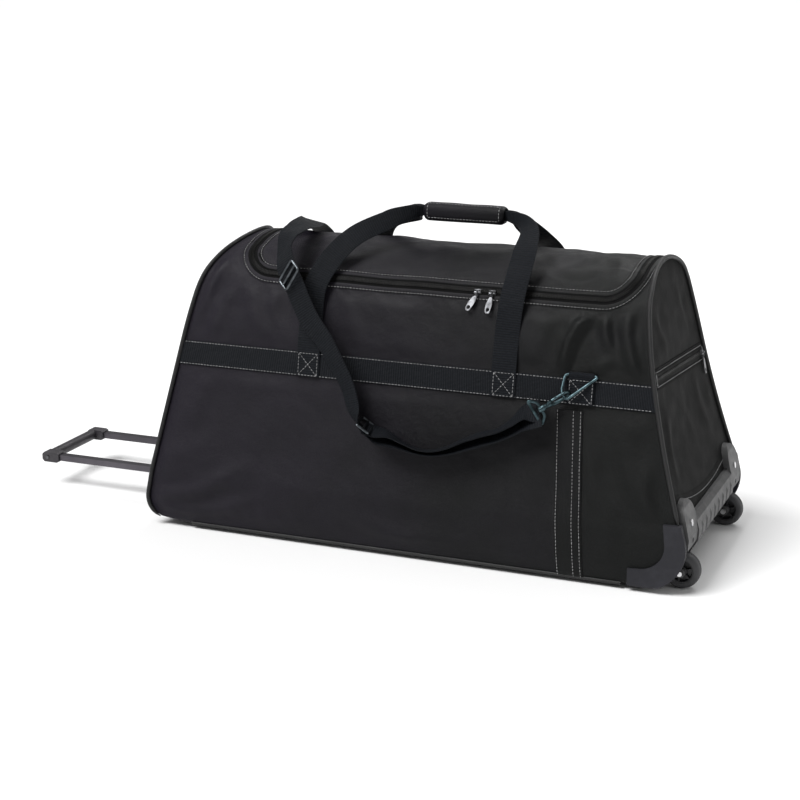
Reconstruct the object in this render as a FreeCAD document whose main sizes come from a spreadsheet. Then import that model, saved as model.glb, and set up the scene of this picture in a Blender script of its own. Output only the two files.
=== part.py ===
import FreeCAD, Part
import math
import os
import Sketcher

# Rolling duffel bag, in millimetres: +X towards the wheels, -X towards the pull handle,
# -Y the front face, +Z up. The origin lies on the floor, under the middle of the bag with
# its pull handle out.

Vector = FreeCAD.Vector
Rotation = FreeCAD.Rotation
Placement = FreeCAD.Placement
X_AXIS = Vector(1, 0, 0)
Y_AXIS = Vector(0, 1, 0)
Z_AXIS = Vector(0, 0, 1)
FAR = 900

doc = FreeCAD.newDocument("rolling_duffel_bag")
sheet = doc.addObject("Spreadsheet::Sheet", "dims")

DIMENSIONS = [
    # bag body
    ("fabric_thickness", 3),
    ("base_height", 6),
    ("half_width", 190),
    ("crest_height", 451),
    ("handle_end_x", -306),
    ("wheel_end_x", 556),
    ("webbing_width", 38),
    ("webbing_thickness", 2),
    ("band_height", 279),
    ("piping_size", 2.5),
    # top flap
    ("flap_left_x", -167),
    ("flap_right_x", 455),
    ("flap_front_y", -113),
    ("flap_rear_y", 110),
    ("flap_corner", 45),
    ("chain_half_width", 3),
    ("running_gap", 0.3),
    # wheels
    ("axle_x", 551),
    ("axle_z", 27),
    ("axle_radius", 4),
    ("wheel_y", 148),
    ("wheel_radius", 27),
    ("wheel_width", 20),
    ("hub_radius", 19),
    ("bore_clearance", 0.05),
    # pull handle
    ("tube_y", 72),
    ("tube_z", 48),
    ("tube_width", 14),
    ("tube_height", 10),
    ("tube_wall", 1.2),
    ("tube_length", 375),
    ("tube_start_x", -560),
    ("sleeve_width", 18),
    ("sleeve_height", 14),
    ("sleeve_wall", 1.5),
    ("sleeve_start_x", -290),
    ("sleeve_length", 790),
    ("grip_radius", 9),
    ("grip_core_radius", 4),
    ("grip_x", -567),
    ("grip_half_length", 62),
    ("cap_width", 20),
    # base
    ("board_start_x", -150),
    ("board_length", 645),
    ("board_width", 340),
    ("board_thickness", 3),
    ("foot_width", 40),
    ("foot_x", -155),
    ("foot_y", 130),
    # carry handle
    ("grip_wrap_length", 130),
    ("grip_wrap_x", 158),
    ("grip_wrap_z", 501),
    ("grip_wrap_height", 27),
    ("grip_wrap_depth", 30),
    ("grip_wrap_wall", 4),
    # zip slider
    ("slider_length", 12),
    ("slider_width", 8),
    ("slider_height", 4),
    ("puller_thickness", 1.6),
    # strap hardware
    ("wire_radius", 2.2),
    ("buckle_width", 46),
    ("buckle_length", 26),
    ("buckle_thickness", 3.2),
]
for row, (alias, value) in enumerate(DIMENSIONS, start=1):
    sheet.set(f"A{row}", alias)
    sheet.set(f"B{row}", str(value))
    sheet.setAlias(f"B{row}", alias)
doc.recompute()

nodes = []


def size(alias):
    return float(sheet.get(alias))


def node(item, label):
    """Names a finished sub-part, which puts it in the list of sub-parts to write."""
    item.Label = label
    nodes.append(item)
    return item


def primitive(kind, name, at=("0", "0", "0"), turn=None, **formulas):
    """A Part primitive whose sizes and place are bound to the sheet."""
    item = doc.addObject(kind, name)
    if turn:
        item.Placement = Placement(Vector(), turn)
    for prop, formula in formulas.items():
        item.setExpression(prop, formula)
    for axis, formula in zip("xyz", at):
        item.setExpression(f".Placement.Base.{axis}", formula)
    return item


def boolean(kind, name, base, tool):
    item = doc.addObject(kind, name)
    item.Base = base
    item.Tool = tool
    return item


def joined(kind, name, parts):
    """A Part::MultiFuse or Part::Compound of several objects."""
    item = doc.addObject(kind, name)
    if kind == "Part::Compound":
        item.Links = parts
    else:
        item.Shapes = parts
    return item


def mirrored(source, name, normal=Y_AXIS):
    item = doc.addObject("Part::Mirroring", name)
    item.Source = source
    item.Base = Vector()
    item.Normal = normal
    return item


def pair(source, label):
    """A piece and its mirror image across the middle plane, as one sub-part."""
    doc.recompute()
    return node(joined("Part::Compound", label, [source, mirrored(source, label + "_rear")]), label)


def feature(name, shape):
    item = doc.addObject("Part::Feature", name)
    item.Shape = shape
    return item


def origin_plane(body, role):
    return next(item for item in body.Origin.OriginFeatures if item.Role == role)


def outline_sketch(body, role, name, corners):
    """A closed polygon on one of the body's own planes, each corner bound to the sheet."""
    sketch = body.newObject("Sketcher::SketchObject", name)
    sketch.AttachmentSupport = (origin_plane(body, role), [""])
    sketch.MapMode = "FlatFace"
    count = len(corners)
    starts = [Vector(10 * math.cos(6.28 * i / count), 10 * math.sin(6.28 * i / count)) for i in range(count)]
    for i in range(count):
        sketch.addGeometry(Part.LineSegment(starts[i], starts[(i + 1) % count]))
    for i in range(count):
        sketch.addConstraint(Sketcher.Constraint("Coincident", i, 2, (i + 1) % count, 1))
    for i, (across, up) in enumerate(corners):
        for kind, formula in (("DistanceX", across), ("DistanceY", up)):
            number = sketch.addConstraint(Sketcher.Constraint(kind, i, 1, 1.0))
            sketch.setExpression(f"Constraints[{number}]", formula)
    return sketch


def revolved(name, role, corners, turn, at):
    """A body turned from one polygon about the sketch's horizontal axis."""
    body = doc.addObject("PartDesign::Body", name)
    sketch = outline_sketch(body, role, name + "_profile", corners)
    turned = body.newObject("PartDesign::Revolution", name + "_turned")
    turned.Profile = sketch
    turned.ReferenceAxis = (sketch, ["H_Axis"])
    turned.Angle = 360
    body.Placement = Placement(Vector(), turn)
    for axis, formula in zip("xyz", at):
        body.setExpression(f".Placement.Base.{axis}", formula)
    return body


def padded_plate(name, role, corners, length, holes=(), place=None, at=()):
    """A plate padded from one polygon, with polygonal holes through it."""
    body = doc.addObject("PartDesign::Body", name)
    pad = body.newObject("PartDesign::Pad", name + "_pad")
    pad.Profile = outline_sketch(body, role, name + "_outline", corners)
    pad.setExpression("Length", length)
    for i, hole in enumerate(holes):
        pocket = body.newObject("PartDesign::Pocket", f"{name}_hole{i}")
        pocket.Profile = outline_sketch(body, role, f"{name}_hole{i}_outline", hole)
        pocket.Type = "ThroughAll"
        pocket.Midplane = True
    if place:
        body.Placement = place
    for axis, formula in zip("xyz", at):
        body.setExpression(f".Placement.Base.{axis}", formula)
    return body


def rectangle(half_across, half_up):
    """The corners of a centred rectangle, from the formulas of its half sizes."""
    return [(f"-({half_across})", f"-({half_up})"), (half_across, f"-({half_up})"),
            (half_across, half_up), (f"-({half_across})", half_up)]


def line(a, b):
    return Part.LineSegment(Vector(*a), Vector(*b)).toShape()


def arc(a, b, c):
    return Part.Arc(Vector(*a), Vector(*b), Vector(*c)).toShape()


def block(low, high):
    return Part.makeBox(*[b - a for a, b in zip(low, high)], Vector(*low))


def both_sides(shape):
    """A shape and its mirror image across the middle plane."""
    return [shape, shape.mirror(Vector(), Y_AXIS)]


# ---------------------------------------------------------------- bag body outline

BASE = size("base_height")
HALF = size("half_width")
CREST = size("crest_height")
LEFT = size("handle_end_x")
RIGHT = size("wheel_end_x")
SKIN = size("fabric_thickness")


def cross_section():
    """The bag seen from its end: sides that lean in to rounded shoulders and a low crest."""
    edges = []
    for s in (1, -1):
        half = [
            line((0, 0, BASE), (0, s * (HALF - 8), BASE)),
            arc((0, s * (HALF - 8), BASE), (0, s * (HALF - 2), BASE + 2), (0, s * HALF, BASE + 8)),
            line((0, s * HALF, BASE + 8), (0, s * HALF, 88)),
            line((0, s * HALF, 88), (0, s * 151, 300)),
            arc((0, s * 151, 300), (0, s * 137, 354), (0, s * 118, 400)),
            arc((0, s * 118, 400), (0, s * 97, 423), (0, s * 68, 439)),
            arc((0, s * 68, 439), (0, s * 35, 448), (0, 0, CREST)),
        ]
        edges += half
    return Part.Wire(Part.__sortEdges__(edges))


def side_profile():
    """The bag seen from the front, left open above the crest and below the base."""
    top = CREST + 24
    return Part.Wire(Part.__sortEdges__([
        line((-160, 0, -10), (490, 0, -10)),
        line((490, 0, -10), (510, 0, BASE)),
        arc((510, 0, BASE), (543, 0, 26), (RIGHT, 0, 66)),
        line((RIGHT, 0, 66), (RIGHT - 5, 0, 100)),
        arc((RIGHT - 5, 0, 100), (505, 0, 265), (477, 0, 410)),
        arc((477, 0, 410), (470, 0, 446), (455, 0, top)),
        line((455, 0, top), (-150, 0, top)),
        arc((-150, 0, top), (-213, 0, 430), (-240, 0, 372)),
        line((-240, 0, 372), (LEFT, 0, 50)),
        arc((LEFT, 0, 50), (LEFT + 8, 0, 23), (LEFT + 38, 0, 12)),
        line((LEFT + 38, 0, 12), (-160, 0, -10)),
    ]))


def section_tube(grow):
    wire = cross_section()
    wire = wire.makeOffset2D(grow) if grow else wire
    tube = Part.Face(wire).extrude(X_AXIS * 2 * FAR)
    tube.translate(X_AXIS * -FAR)
    return tube


def profile_slab(grow):
    wire = side_profile()
    wire = wire.makeOffset2D(grow) if grow else wire
    slab = Part.Face(wire).extrude(Y_AXIS * 2 * FAR)
    slab.translate(Y_AXIS * -FAR)
    return slab


def surface_y(z):
    """Half the bag's width at a height between its base and its shoulder."""
    if z < 88:
        return HALF
    if z < 300:
        return HALF - (z - 88) * (HALF - 151) / 212
    return 151 - (z - 300) * 33 / 100


outer = section_tube(0).common(profile_slab(0))
wheel_wells = [block((504, s * 148 - 22, -5), (600, s * 148 + 22, 64)) for s in (1, -1)]
body_with_wells = outer.cut(wheel_wells)
side_walls = body_with_wells.cut(section_tube(-SKIN))
end_walls = body_with_wells.common(section_tube(-SKIN)).cut(profile_slab(-SKIN))


def zip_prism(grow):
    """The upright prism of the zip's U, whose round corners are at the front."""
    x0 = size("flap_left_x") - grow
    x1 = size("flap_right_x") + grow
    y0 = size("flap_front_y") - grow
    y1 = size("flap_rear_y")
    r = size("flap_corner") + grow
    k = r * (1 - math.sqrt(0.5))
    z = CREST - 70
    wire = Part.Wire([
        line((x0, y1, z), (x0, y0 + r, z)),
        arc((x0, y0 + r, z), (x0 + k, y0 + k, z), (x0 + r, y0, z)),
        line((x0 + r, y0, z), (x1 - r, y0, z)),
        arc((x1 - r, y0, z), (x1 - k, y0 + k, z), (x1, y0 + r, z)),
        line((x1, y0 + r, z), (x1, y1, z)),
        line((x1, y1, z), (x0, y1, z)),
    ])
    return Part.Face(wire).extrude(Z_AXIS * 120)


chain_half = size("chain_half_width")
gap = size("running_gap")
opening = zip_prism(chain_half)
upper_walls = side_walls.cut(opening)

# ---------------------------------------------------------------- fabric panels

front_half = block((-FAR, -FAR, BASE + 5), (FAR, 0, FAR))
rear_half = block((-FAR, 0, BASE + 5), (FAR, FAR, FAR))
below = block((-FAR, -FAR, -FAR), (FAR, FAR, BASE + 5))
node(feature("front_panel", upper_walls.common(front_half)), "front_panel")
node(feature("rear_panel", upper_walls.common(rear_half)), "rear_panel")
node(feature("bottom_panel", side_walls.common(below)), "bottom_panel")

tube_y = size("tube_y")
tube_z = size("tube_z")
neck_half_y = 12
neck_half_z = 10
necks = [block((LEFT - 12, s * tube_y - neck_half_y, tube_z - neck_half_z),
               (LEFT + 15, s * tube_y + neck_half_y, tube_z + neck_half_z)) for s in (1, -1)]
handle_end = end_walls.common(block((-FAR, -FAR, -FAR), (0, FAR, FAR))).cut(necks)
node(feature("handle_end_panel", handle_end), "handle_end_panel")


def slanted_strip(z_front, z_rear, half, y0, y1):
    """An upright strip that leans along the wheel end, cut right through its wall."""
    points = [(0, y0, z_front - half), (0, y1, z_rear - half),
              (0, y1, z_rear + half), (0, y0, z_front + half)]
    wire = Part.makePolygon([Vector(*point) for point in points + points[:1]])
    return Part.Face(wire).extrude(X_AXIS * FAR)


POCKET_FRONT = (-135, 302.0)
POCKET_REAR = (140, 281.5)
pocket_strip = slanted_strip(POCKET_FRONT[1], POCKET_REAR[1], chain_half, POCKET_FRONT[0], POCKET_REAR[0])
wheel_end = end_walls.common(block((0, -FAR, -FAR), (FAR, FAR, FAR)))
node(feature("wheel_end_panel", wheel_end.cut(pocket_strip)), "wheel_end_panel")
node(feature("end_pocket_zip_chain", wheel_end.common(pocket_strip)), "end_pocket_zip_chain")

chain_ring = opening.cut(zip_prism(-chain_half))
node(feature("top_zip_chain", side_walls.common(chain_ring)), "top_zip_chain")
before_hinge = block((-FAR, -FAR, 0), (FAR, size("flap_rear_y") - gap, FAR))
flap_region = zip_prism(-chain_half - gap).common(before_hinge)
node(feature("top_flap", side_walls.common(flap_region)), "top_flap")

# ---------------------------------------------------------------- piping along the rims

PIPING = size("piping_size")
rim_band_across = section_tube(PIPING).cut(section_tube(-4))
rim_band_along = profile_slab(PIPING).cut(profile_slab(-4))
rims = rim_band_across.common(rim_band_along).cut(outer)
node(feature("wheel_end_piping", rims.common(block((300, -FAR, 110), (FAR, FAR, FAR)))), "wheel_end_piping")
handle_rim = rims.common(block((-FAR, -FAR, 1), (-100, FAR, FAR)))
under_base = block((-264, 4 - HALF, 0), (0, HALF - 4, 30))
node(feature("handle_end_piping", handle_rim.cut(under_base)), "handle_end_piping")

edge_rod = Part.makeCylinder(3, 700, Vector(-228, -(HALF - 1.5), BASE + 1.5), X_AXIS).cut(outer).cut(rims)
node(feature("base_piping", Part.Compound(both_sides(edge_rod))), "base_piping")

# ---------------------------------------------------------------- webbing bands

WEB = size("webbing_width")
WEB_THICK = size("webbing_thickness")
band_z = size("band_height")
band_skin = section_tube(WEB_THICK).cut(section_tube(0)).common(profile_slab(0))
band = band_skin.common(block((-FAR, -FAR, band_z - WEB / 2), (FAR, 0, band_z + WEB / 2))).cut(rims)
node(feature("front_webbing_band", band), "front_webbing_band")
node(feature("rear_webbing_band", band.mirror(Vector(), Y_AXIS)), "rear_webbing_band")

LEG_X = (-39, 275.5)
RING_X = 402
tab_skin = section_tube(2 * WEB_THICK).cut(section_tube(WEB_THICK)).common(profile_slab(0))


def sewn_tab(x, side, z0, z1):
    """A length of webbing sewn flat on top of the band."""
    low, high = sorted((0, side * FAR))
    return tab_skin.common(block((x - WEB / 2, low, z0), (x + WEB / 2, high, z1)))


sewn_ends = [sewn_tab(x, side, band_z - WEB / 2, band_z + WEB / 2 + 3) for side in (-1, 1) for x in LEG_X]
node(feature("handle_sewn_ends", Part.Compound(sewn_ends)), "handle_sewn_ends")

# ---------------------------------------------------------------- webbing ribbons


def ribbon(stations, first=0, last=FAR):
    """A flat strap through stations of (centre, width direction, width, thickness)."""
    centres = [Vector(*station[0]) for station in stations]
    wires = []
    for i, (_, across, width, thickness) in enumerate(stations):
        if not first <= i <= last:
            continue
        run = centres[min(i + 1, len(centres) - 1)] - centres[max(i - 1, 0)]
        run.normalize()
        wide = Vector(*across)
        wide = (wide - run * wide.dot(run)).normalize() * (width / 2)
        deep = run.cross(wide).normalize() * (thickness / 2)
        corners = [wide + deep, wide - deep, -wide - deep, -wide + deep]
        points = [centres[i] + corner for corner in corners]
        wires.append(Part.makePolygon(points + points[:1]))
    return Part.makeLoft(wires, True, True)


STAND_OFF = 12
GRIP_X = size("grip_wrap_x")
GRIP_Z = size("grip_wrap_z")
GRIP_HALF = size("grip_wrap_length") / 2
ACROSS = (1, 0, 0)


def handle_leg(x_foot, x_bend, direction, side, lean):
    """From the pivot above the sewn end, over the shoulder and into the end of the grip."""
    x_grip = GRIP_X + direction * GRIP_HALF
    return [
        ((x_foot, side * (surface_y(304) + 3), 304), ACROSS, WEB, 2),
        ((x_foot, side * (surface_y(345) + 9), 347), ACROSS, WEB, 2),
        ((x_foot + 0.2 * lean, side * (surface_y(395) + STAND_OFF), 399), ACROSS, WEB, 2),
        ((x_foot + 0.6 * lean, side * 109, 434), ACROSS, WEB, 2),
        ((x_bend, side * 70, 468), (1, 0, -0.4 * direction), WEB - 4, 2),
        ((x_grip + direction * 26, side * 30, 492), (0.5, -side * 0.3, -direction), 28, 3),
        ((x_grip + direction * 5, side * 3.6, GRIP_Z), (0, 0, -direction), 14, 4),
        ((x_grip - direction * 1, side * 3.5, GRIP_Z), (0, 0, -direction), 14, 4),
    ]


def handle_loop(side):
    lean = -side * 6 if side > 0 else 3
    right = handle_leg(LEG_X[1], LEG_X[1] - 2, 1, side, lean)
    left = handle_leg(LEG_X[0], LEG_X[0] + 40, -1, side, 20)
    inside = block((GRIP_X - GRIP_HALF + 1, side * 3.5 - 2, GRIP_Z - 7),
                   (GRIP_X + GRIP_HALF - 1, side * 3.5 + 2, GRIP_Z + 7))
    return inside.fuse([ribbon(left), ribbon(right)]).removeSplitter()


node(feature("front_handle_webbing", handle_loop(-1)), "front_handle_webbing")
node(feature("rear_handle_webbing", handle_loop(1)), "rear_handle_webbing")


def ellipse_bar(name, half_y, half_z):
    bar = doc.addObject("Part::Ellipse", name)
    bar.setExpression("MajorRadius", half_y)
    bar.setExpression("MinorRadius", half_z)
    bar.Placement = Placement(Vector(), Rotation(Vector(0, 1, 0), Vector(0, 0, 1), Vector(1, 0, 0), "ZXY"))
    run = doc.addObject("Part::Extrusion", name + "_run")
    run.Base = bar
    run.DirMode = "Custom"
    run.Dir = X_AXIS
    run.Solid = True
    run.setExpression("LengthFwd", "dims.grip_wrap_length")
    run.setExpression(".Placement.Base.x", "dims.grip_wrap_x - dims.grip_wrap_length / 2")
    run.setExpression(".Placement.Base.z", "dims.grip_wrap_z")
    return run


wrap_outer = ellipse_bar("wrap_outer", "dims.grip_wrap_depth / 2", "dims.grip_wrap_height / 2")
wrap_inner = ellipse_bar(
    "wrap_inner",
    "dims.grip_wrap_depth / 2 - dims.grip_wrap_wall",
    "dims.grip_wrap_height / 2 - dims.grip_wrap_wall",
)
node(boolean("Part::Cut", "grip_wrap", wrap_outer, wrap_inner), "grip_wrap")

# ---------------------------------------------------------------- shoulder strap

FRONT_RUN = [
    ((326, -190.5, 244.5), (-0.5, 0, 0.87), 37, 5),
    ((304, -192.5, 227), (-0.6, 0.25, 0.75), 37, 5),
    ((259, -191, 204), (-0.3, 0.5, 0.7), 33, 5),
    ((210, -190, 184), (-0.2, 0.8, 0.4), 27, 5),
    ((160, -190.5, 172), (0, 1, 0.15), 24, 5),
    ((115, -190, 175), (0.1, 0.8, 0.3), 27, 5),
    ((88, -190, 187), (0.4, 0.45, 0.75), 34, 5),
]
UPPER_RUN = [
    ((68, -189, 200), (0.85, 0.3, 0.5), WEB, 2.4),
    ((55, -187, 226), (0.9, 0.1, 0.35), WEB, 2.4),
    ((41, -183, 251), (0.9, 0, 0.4), WEB, 2.4),
    ((20, -176, 291), (0.9, 0, 0.4), WEB, 2.4),
    ((-8, -168, 323), (0.85, 0, 0.5), WEB, 2.4),
    ((-38, -160, 354), (0.9, 0, 0.35), WEB, 2.4),
    ((-63, -152, 390), (0.95, 0, 0.2), WEB, 2.4),
    ((-78, -144, 424), (1, 0, 0.2), WEB, 2.4),
    ((-86, -132, 449), (1, 0, 0), WEB, 2.4),
    ((-89, -110, 473), (1, 0, 0), WEB, 2.4),
    ((-89, -72, 484), (1, -0.1, 0), WEB, 2.4),
    ((-92, -34, 487), (1, -0.1, 0), WEB, 2.4),
    ((-99, 5, 479), (1, -0.1, 0), WEB, 2.4),
    ((-110, 45, 464), (1, -0.1, 0), WEB, 2.4),
    ((-119, 85, 447), (1, 0, 0), WEB, 2.4),
    ((-124, 114, 430), (1, 0, 0), WEB, 2.4),
    ((-127, 128, 412), (1, 0, 0), WEB, 2.4),
    ((-128, 136, 400), (1, 0, 0), WEB, 2.4),
]
RISE_END = 8
node(feature("strap_front_run", ribbon(FRONT_RUN)), "strap_front_run")
node(feature("strap_rise", ribbon(UPPER_RUN, 0, RISE_END)), "strap_rise")
node(feature("strap_over_top", ribbon(UPPER_RUN, RISE_END)), "strap_over_top")

# ---------------------------------------------------------------- strap hardware

WIRE = size("wire_radius")


def wire_loop(points):
    """A closed loop of round wire with ball corners."""
    rods = []
    for a, b in zip(points, points[1:] + points[:1]):
        rods.append(Part.makeCylinder(WIRE, (b - a).Length, a, b - a))
        rods.append(Part.makeSphere(WIRE, a))
    return rods[0].fuse(rods[1:]).removeSplitter()


def ring_tab(side, x_centre, ring_z):
    """The webbing tab that is sewn over the band and folded round the ring's bar."""
    flat = sewn_tab(x_centre, side, band_z - WEB / 2, ring_z - 4)
    bar = Vector(x_centre, side * (surface_y(ring_z) + 2.2 + WIRE), ring_z)
    start = bar - X_AXIS * (WEB / 2)
    fold = Part.makeCylinder(WIRE + 2, WEB, start, X_AXIS).cut(Part.makeCylinder(WIRE, WEB, start, X_AXIS))
    return flat.fuse(fold.cut(section_tube(WEB_THICK))).removeSplitter(), bar


def turned_frame(along, up):
    """A turn that lays local X along one direction and local Z near another."""
    return Rotation(along, Vector(), up, "XZY")


HOOK_REACH = 31.4
hook_outline = [("0", "-11"), ("36", "-11"), ("43", "-4"), ("43", "4"), ("36", "11"), ("31.5", "11"),
                ("31.5", "6"), ("34", "4"), ("37", "0"), ("34", "-4"), ("9", "-6"), ("9", "6"),
                ("13", "6"), ("13", "11"), ("0", "11")]
base_outline = [("-24", "-23"), ("-6", "-15"), ("-6", "15"), ("-24", "23")]
base_slot = [("-20", "-19.5"), ("-14", "-18"), ("-14", "18"), ("-20", "19.5")]
gate_outline = [("14", "6.8"), ("31", "6.8"), ("31", "10.6"), ("14", "10.6")]


def snap_hook(end, seat, along, plate_up, base_up):
    """A snap hook on a ring: hook plate, swivel, slotted strap base, and its sprung gate."""
    along = Vector(along).normalize()
    root = seat - along * HOOK_REACH
    plate_turn = turned_frame(along, plate_up)
    base_turn = turned_frame(along, base_up)

    def laid(turn, offset):
        return Placement(root + turn.multVec(Vector(0, 0, offset)), turn)

    plate = padded_plate(f"{end}_hook_plate", "XY_Plane", hook_outline, "5", place=laid(plate_turn, -2.5))
    base = padded_plate(f"{end}_hook_base", "XY_Plane", base_outline, "4.4", [base_slot],
                        place=laid(base_turn, -2.2))
    barrel = doc.addObject("Part::Cylinder", f"{end}_hook_barrel")
    barrel.Radius = 4.5
    barrel.Height = 7
    barrel.Placement = Placement(root - along * 6.5, Rotation(Z_AXIS, along))
    node(joined("Part::MultiFuse", f"{end}_snap_hook", [plate, barrel, base]), f"{end}_snap_hook")
    gate = padded_plate(f"{end}_hook_gate", "XY_Plane", gate_outline, "3", place=laid(plate_turn, -1.5))
    node(gate, f"{end}_hook_gate")


FRONT_RING_Z = 304
REAR_RING_Z = 306
front_tab, front_bar = ring_tab(-1, RING_X - 8, FRONT_RING_Z)
rear_tab, rear_bar = ring_tab(1, -128, REAR_RING_Z)


def triangle_ring(bar, apex, tangent):
    """A wire ring whose bar lies in the tab and whose blunt tip takes the hook."""
    return wire_loop([bar - X_AXIS * 25, bar + X_AXIS * 25, apex + tangent * 7.5, apex - tangent * 7.5])


front_pull = Vector(0.79, 0.315, 0.53).normalize()
front_tip = Vector(372, -172, 275.5)
front_legs = (front_bar - front_tip).cross(X_AXIS).normalize()
front_tangent = front_legs.cross(front_pull).normalize()
front_tangent = front_tangent if front_tangent.x > 0 else front_tangent * -1
front_ring = triangle_ring(front_bar, front_tip, front_tangent)
node(feature("ring_tabs", Part.Compound([front_tab.cut(front_ring), rear_tab])), "ring_tabs")
node(feature("front_ring", front_ring), "front_ring")
snap_hook("front", front_tip, front_pull, front_tangent, Vector(0, -1, 0))

rear_pull = Vector(0, 0.31, -0.95)
rear_tip = Vector(-128, 156, 338)
node(feature("rear_ring", triangle_ring(rear_bar, rear_tip, X_AXIS)), "rear_ring")
snap_hook("rear", rear_tip, rear_pull, X_AXIS, Vector(0, 1, 0.3))


def slide_buckle(name, centre, along, up):
    """A three-bar slide that sets the strap's length, lying on the outside of the webbing."""
    half_length = "dims.buckle_length / 2"
    slots = [[(x, y) for x, y in ((f"{a}", "-19.5"), (f"{b}", "-19.5"), (f"{b}", "19.5"), (f"{a}", "19.5"))]
             for a, b in ((-10, -2), (2, 10))]
    place = Placement(Vector(*centre), turned_frame(Vector(*along), Vector(*up)))
    outline = rectangle(half_length, "dims.buckle_width / 2")
    node(padded_plate(name, "XY_Plane", outline, "dims.buckle_thickness", slots, place), name)


slide_buckle("lower_slide_buckle", (70, -195, 197), (-0.5, 0, 0.86), (0, -1, 0.1))
slide_buckle("upper_slide_buckle", (-79, -148.5, 428), (-0.25, 0.3, 0.92), (0, -1, 0.35))

# ---------------------------------------------------------------- zip sliders and pullers

puller_outline = [("0", "-2"), ("4", "-2.5"), ("9", "-4"), ("24", "-4"), ("27", "-2.5"),
                  ("27", "2.5"), ("24", "4"), ("9", "4"), ("4", "2.5"), ("0", "2")]
puller_hole = [("17", "-1.8"), ("22", "-1.8"), ("22", "1.8"), ("17", "1.8")]


def zip_slider(label, seat, along, out, hang, slant):
    """A slider on the face of a zip chain, and the puller that hangs from it."""
    turn = turned_frame(along, out)
    up_slope = turn.multVec(Y_AXIS)
    outline = rectangle("dims.slider_length / 2", "dims.slider_width / 2")
    place = Placement(seat + out * 0.4, turn)
    node(padded_plate(f"{label}_slider", "XY_Plane", outline, "dims.slider_height", place=place),
         f"{label}_slider")
    pivot = seat + out * 3 - up_slope * (size("slider_width") / 2 + 2.2)
    lift = hang.cross(along).normalize()
    lift = lift if lift.dot(out) > 0 else lift * -1
    lie = Rotation(lift, slant).multiply(turned_frame(hang, lift))
    node(padded_plate(f"{label}_puller", "XY_Plane", puller_outline, "dims.puller_thickness", [puller_hole],
                      Placement(pivot, lie)), f"{label}_puller")


top_out = Vector(0, -0.77, 0.64)
top_hang = Vector(0, -0.41, -0.912)
for label, x in (("left_zip", 220), ("right_zip", 243)):
    zip_slider(label, Vector(x, -114.6, 404.6), X_AXIS, top_out, top_hang, 16 if x > 230 else 20)

pocket_run = (Vector(501.6, 132, 282.1) - Vector(496.7, -125, 301.2)).normalize()
pocket_out = Vector(0.976, 0, 0.217)
zip_slider("pocket_zip", Vector(501.6, 132, 282.1), pocket_run, pocket_out, Vector(0.2, 0, -0.98), 0)

# ---------------------------------------------------------------- wheels and their housing

TO_Y = Rotation(Z_AXIS, 90)
tyre_profile = [("-dims.wheel_width / 2", "dims.hub_radius"), ("dims.wheel_width / 2", "dims.hub_radius"),
                ("dims.wheel_width / 2", "dims.wheel_radius - 3"),
                ("dims.wheel_width / 2 - 3", "dims.wheel_radius"),
                ("3 - dims.wheel_width / 2", "dims.wheel_radius"),
                ("-dims.wheel_width / 2", "dims.wheel_radius - 3")]
bore = "dims.axle_radius + dims.bore_clearance"
hub_half = [("10", bore), ("10", "8"), ("3", "9.5"), ("3", "14.5"), ("9", "16.5"), ("9", "dims.hub_radius")]
hub_profile = hub_half + [(f"-{x}", y) for x, y in reversed(hub_half)]
for side, end in ((-1, "front"), (1, "rear")):
    at = ("dims.axle_x", f"{side} * dims.wheel_y", "dims.axle_z")
    node(revolved(f"{end}_wheel_tyre", "XY_Plane", tyre_profile, TO_Y, at), f"{end}_wheel_tyre")
    node(revolved(f"{end}_wheel_hub", "XY_Plane", hub_profile, TO_Y, at), f"{end}_wheel_hub")

axle = primitive("Part::Cylinder", "front_axle", ("dims.axle_x", "22 - dims.wheel_y", "dims.axle_z"),
                 Rotation(X_AXIS, 90), Radius="dims.axle_radius", Height="44")
pair(axle, "wheel_axles")

AXLE = Vector(size("axle_x"), 0, size("axle_z"))
ARM_LOW = AXLE.z - 7
ARM_TOP = AXLE.z + 7
ARM_THICK = 6.5
ARM_RADIUS = (ARM_TOP - ARM_LOW) / 2


def prism_y(points, y0, y1):
    """A polygon in the XZ plane, extruded across the bag."""
    wire = Part.makePolygon([Vector(x, y0, z) for x, z in points + points[:1]])
    return Part.Face(wire).extrude(Y_AXIS * (y1 - y0))


def ear():
    """The rounded upright over one wheel, and the two slim arms behind it that hold the axle."""
    side_view = [(504, 58), (556, 58), (564, 66), (565, 82), (560, 106), (554, 126), (549, 134), (528, 134),
                 (504, 64)]
    upright = prism_y(side_view, -178, -118)
    face = Part.Wire([
        line((0, -178, 0), (0, -118, 0)), line((0, -118, 0), (0, -118, 100)),
        arc((0, -118, 100), (0, -148, 134), (0, -178, 100)), line((0, -178, 100), (0, -178, 0)),
    ])
    upright = upright.common(Part.Face(face).extrude(X_AXIS * FAR))
    frame = [block((504, -178, 12), (518, -118, 60))]
    for inner_y in (-166, -136.5):
        frame.append(block((510, inner_y, ARM_LOW), (AXLE.x, inner_y + ARM_THICK, ARM_TOP)))
        frame.append(Part.makeCylinder(ARM_RADIUS, ARM_THICK, Vector(AXLE.x, inner_y, AXLE.z), Y_AXIS))
    bore_cut = Part.makeCylinder(size("axle_radius"), 44, AXLE - Y_AXIS * 170, Y_AXIS)
    slot = block((558, -152, 70), (570, -144, 77))
    return upright.fuse(frame).cut([bore_cut, slot])


def bumper():
    """The ribbed bar between the two ears."""
    side_view = [(530, 57), (558, 57), (566, 64), (567, 80), (563, 94), (556, 101), (530, 101)]
    bar = prism_y(side_view, -120, 120)
    scallops = [Part.makeCylinder(9, 120, Vector(573.5, y, 0), Z_AXIS) for y in range(-98, 99, 28)]
    return bar.cut(scallops)


screw_axis = Vector(0.985, 0, 0.17)
screw_seat = Vector(561.2, -148, 100)


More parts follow.
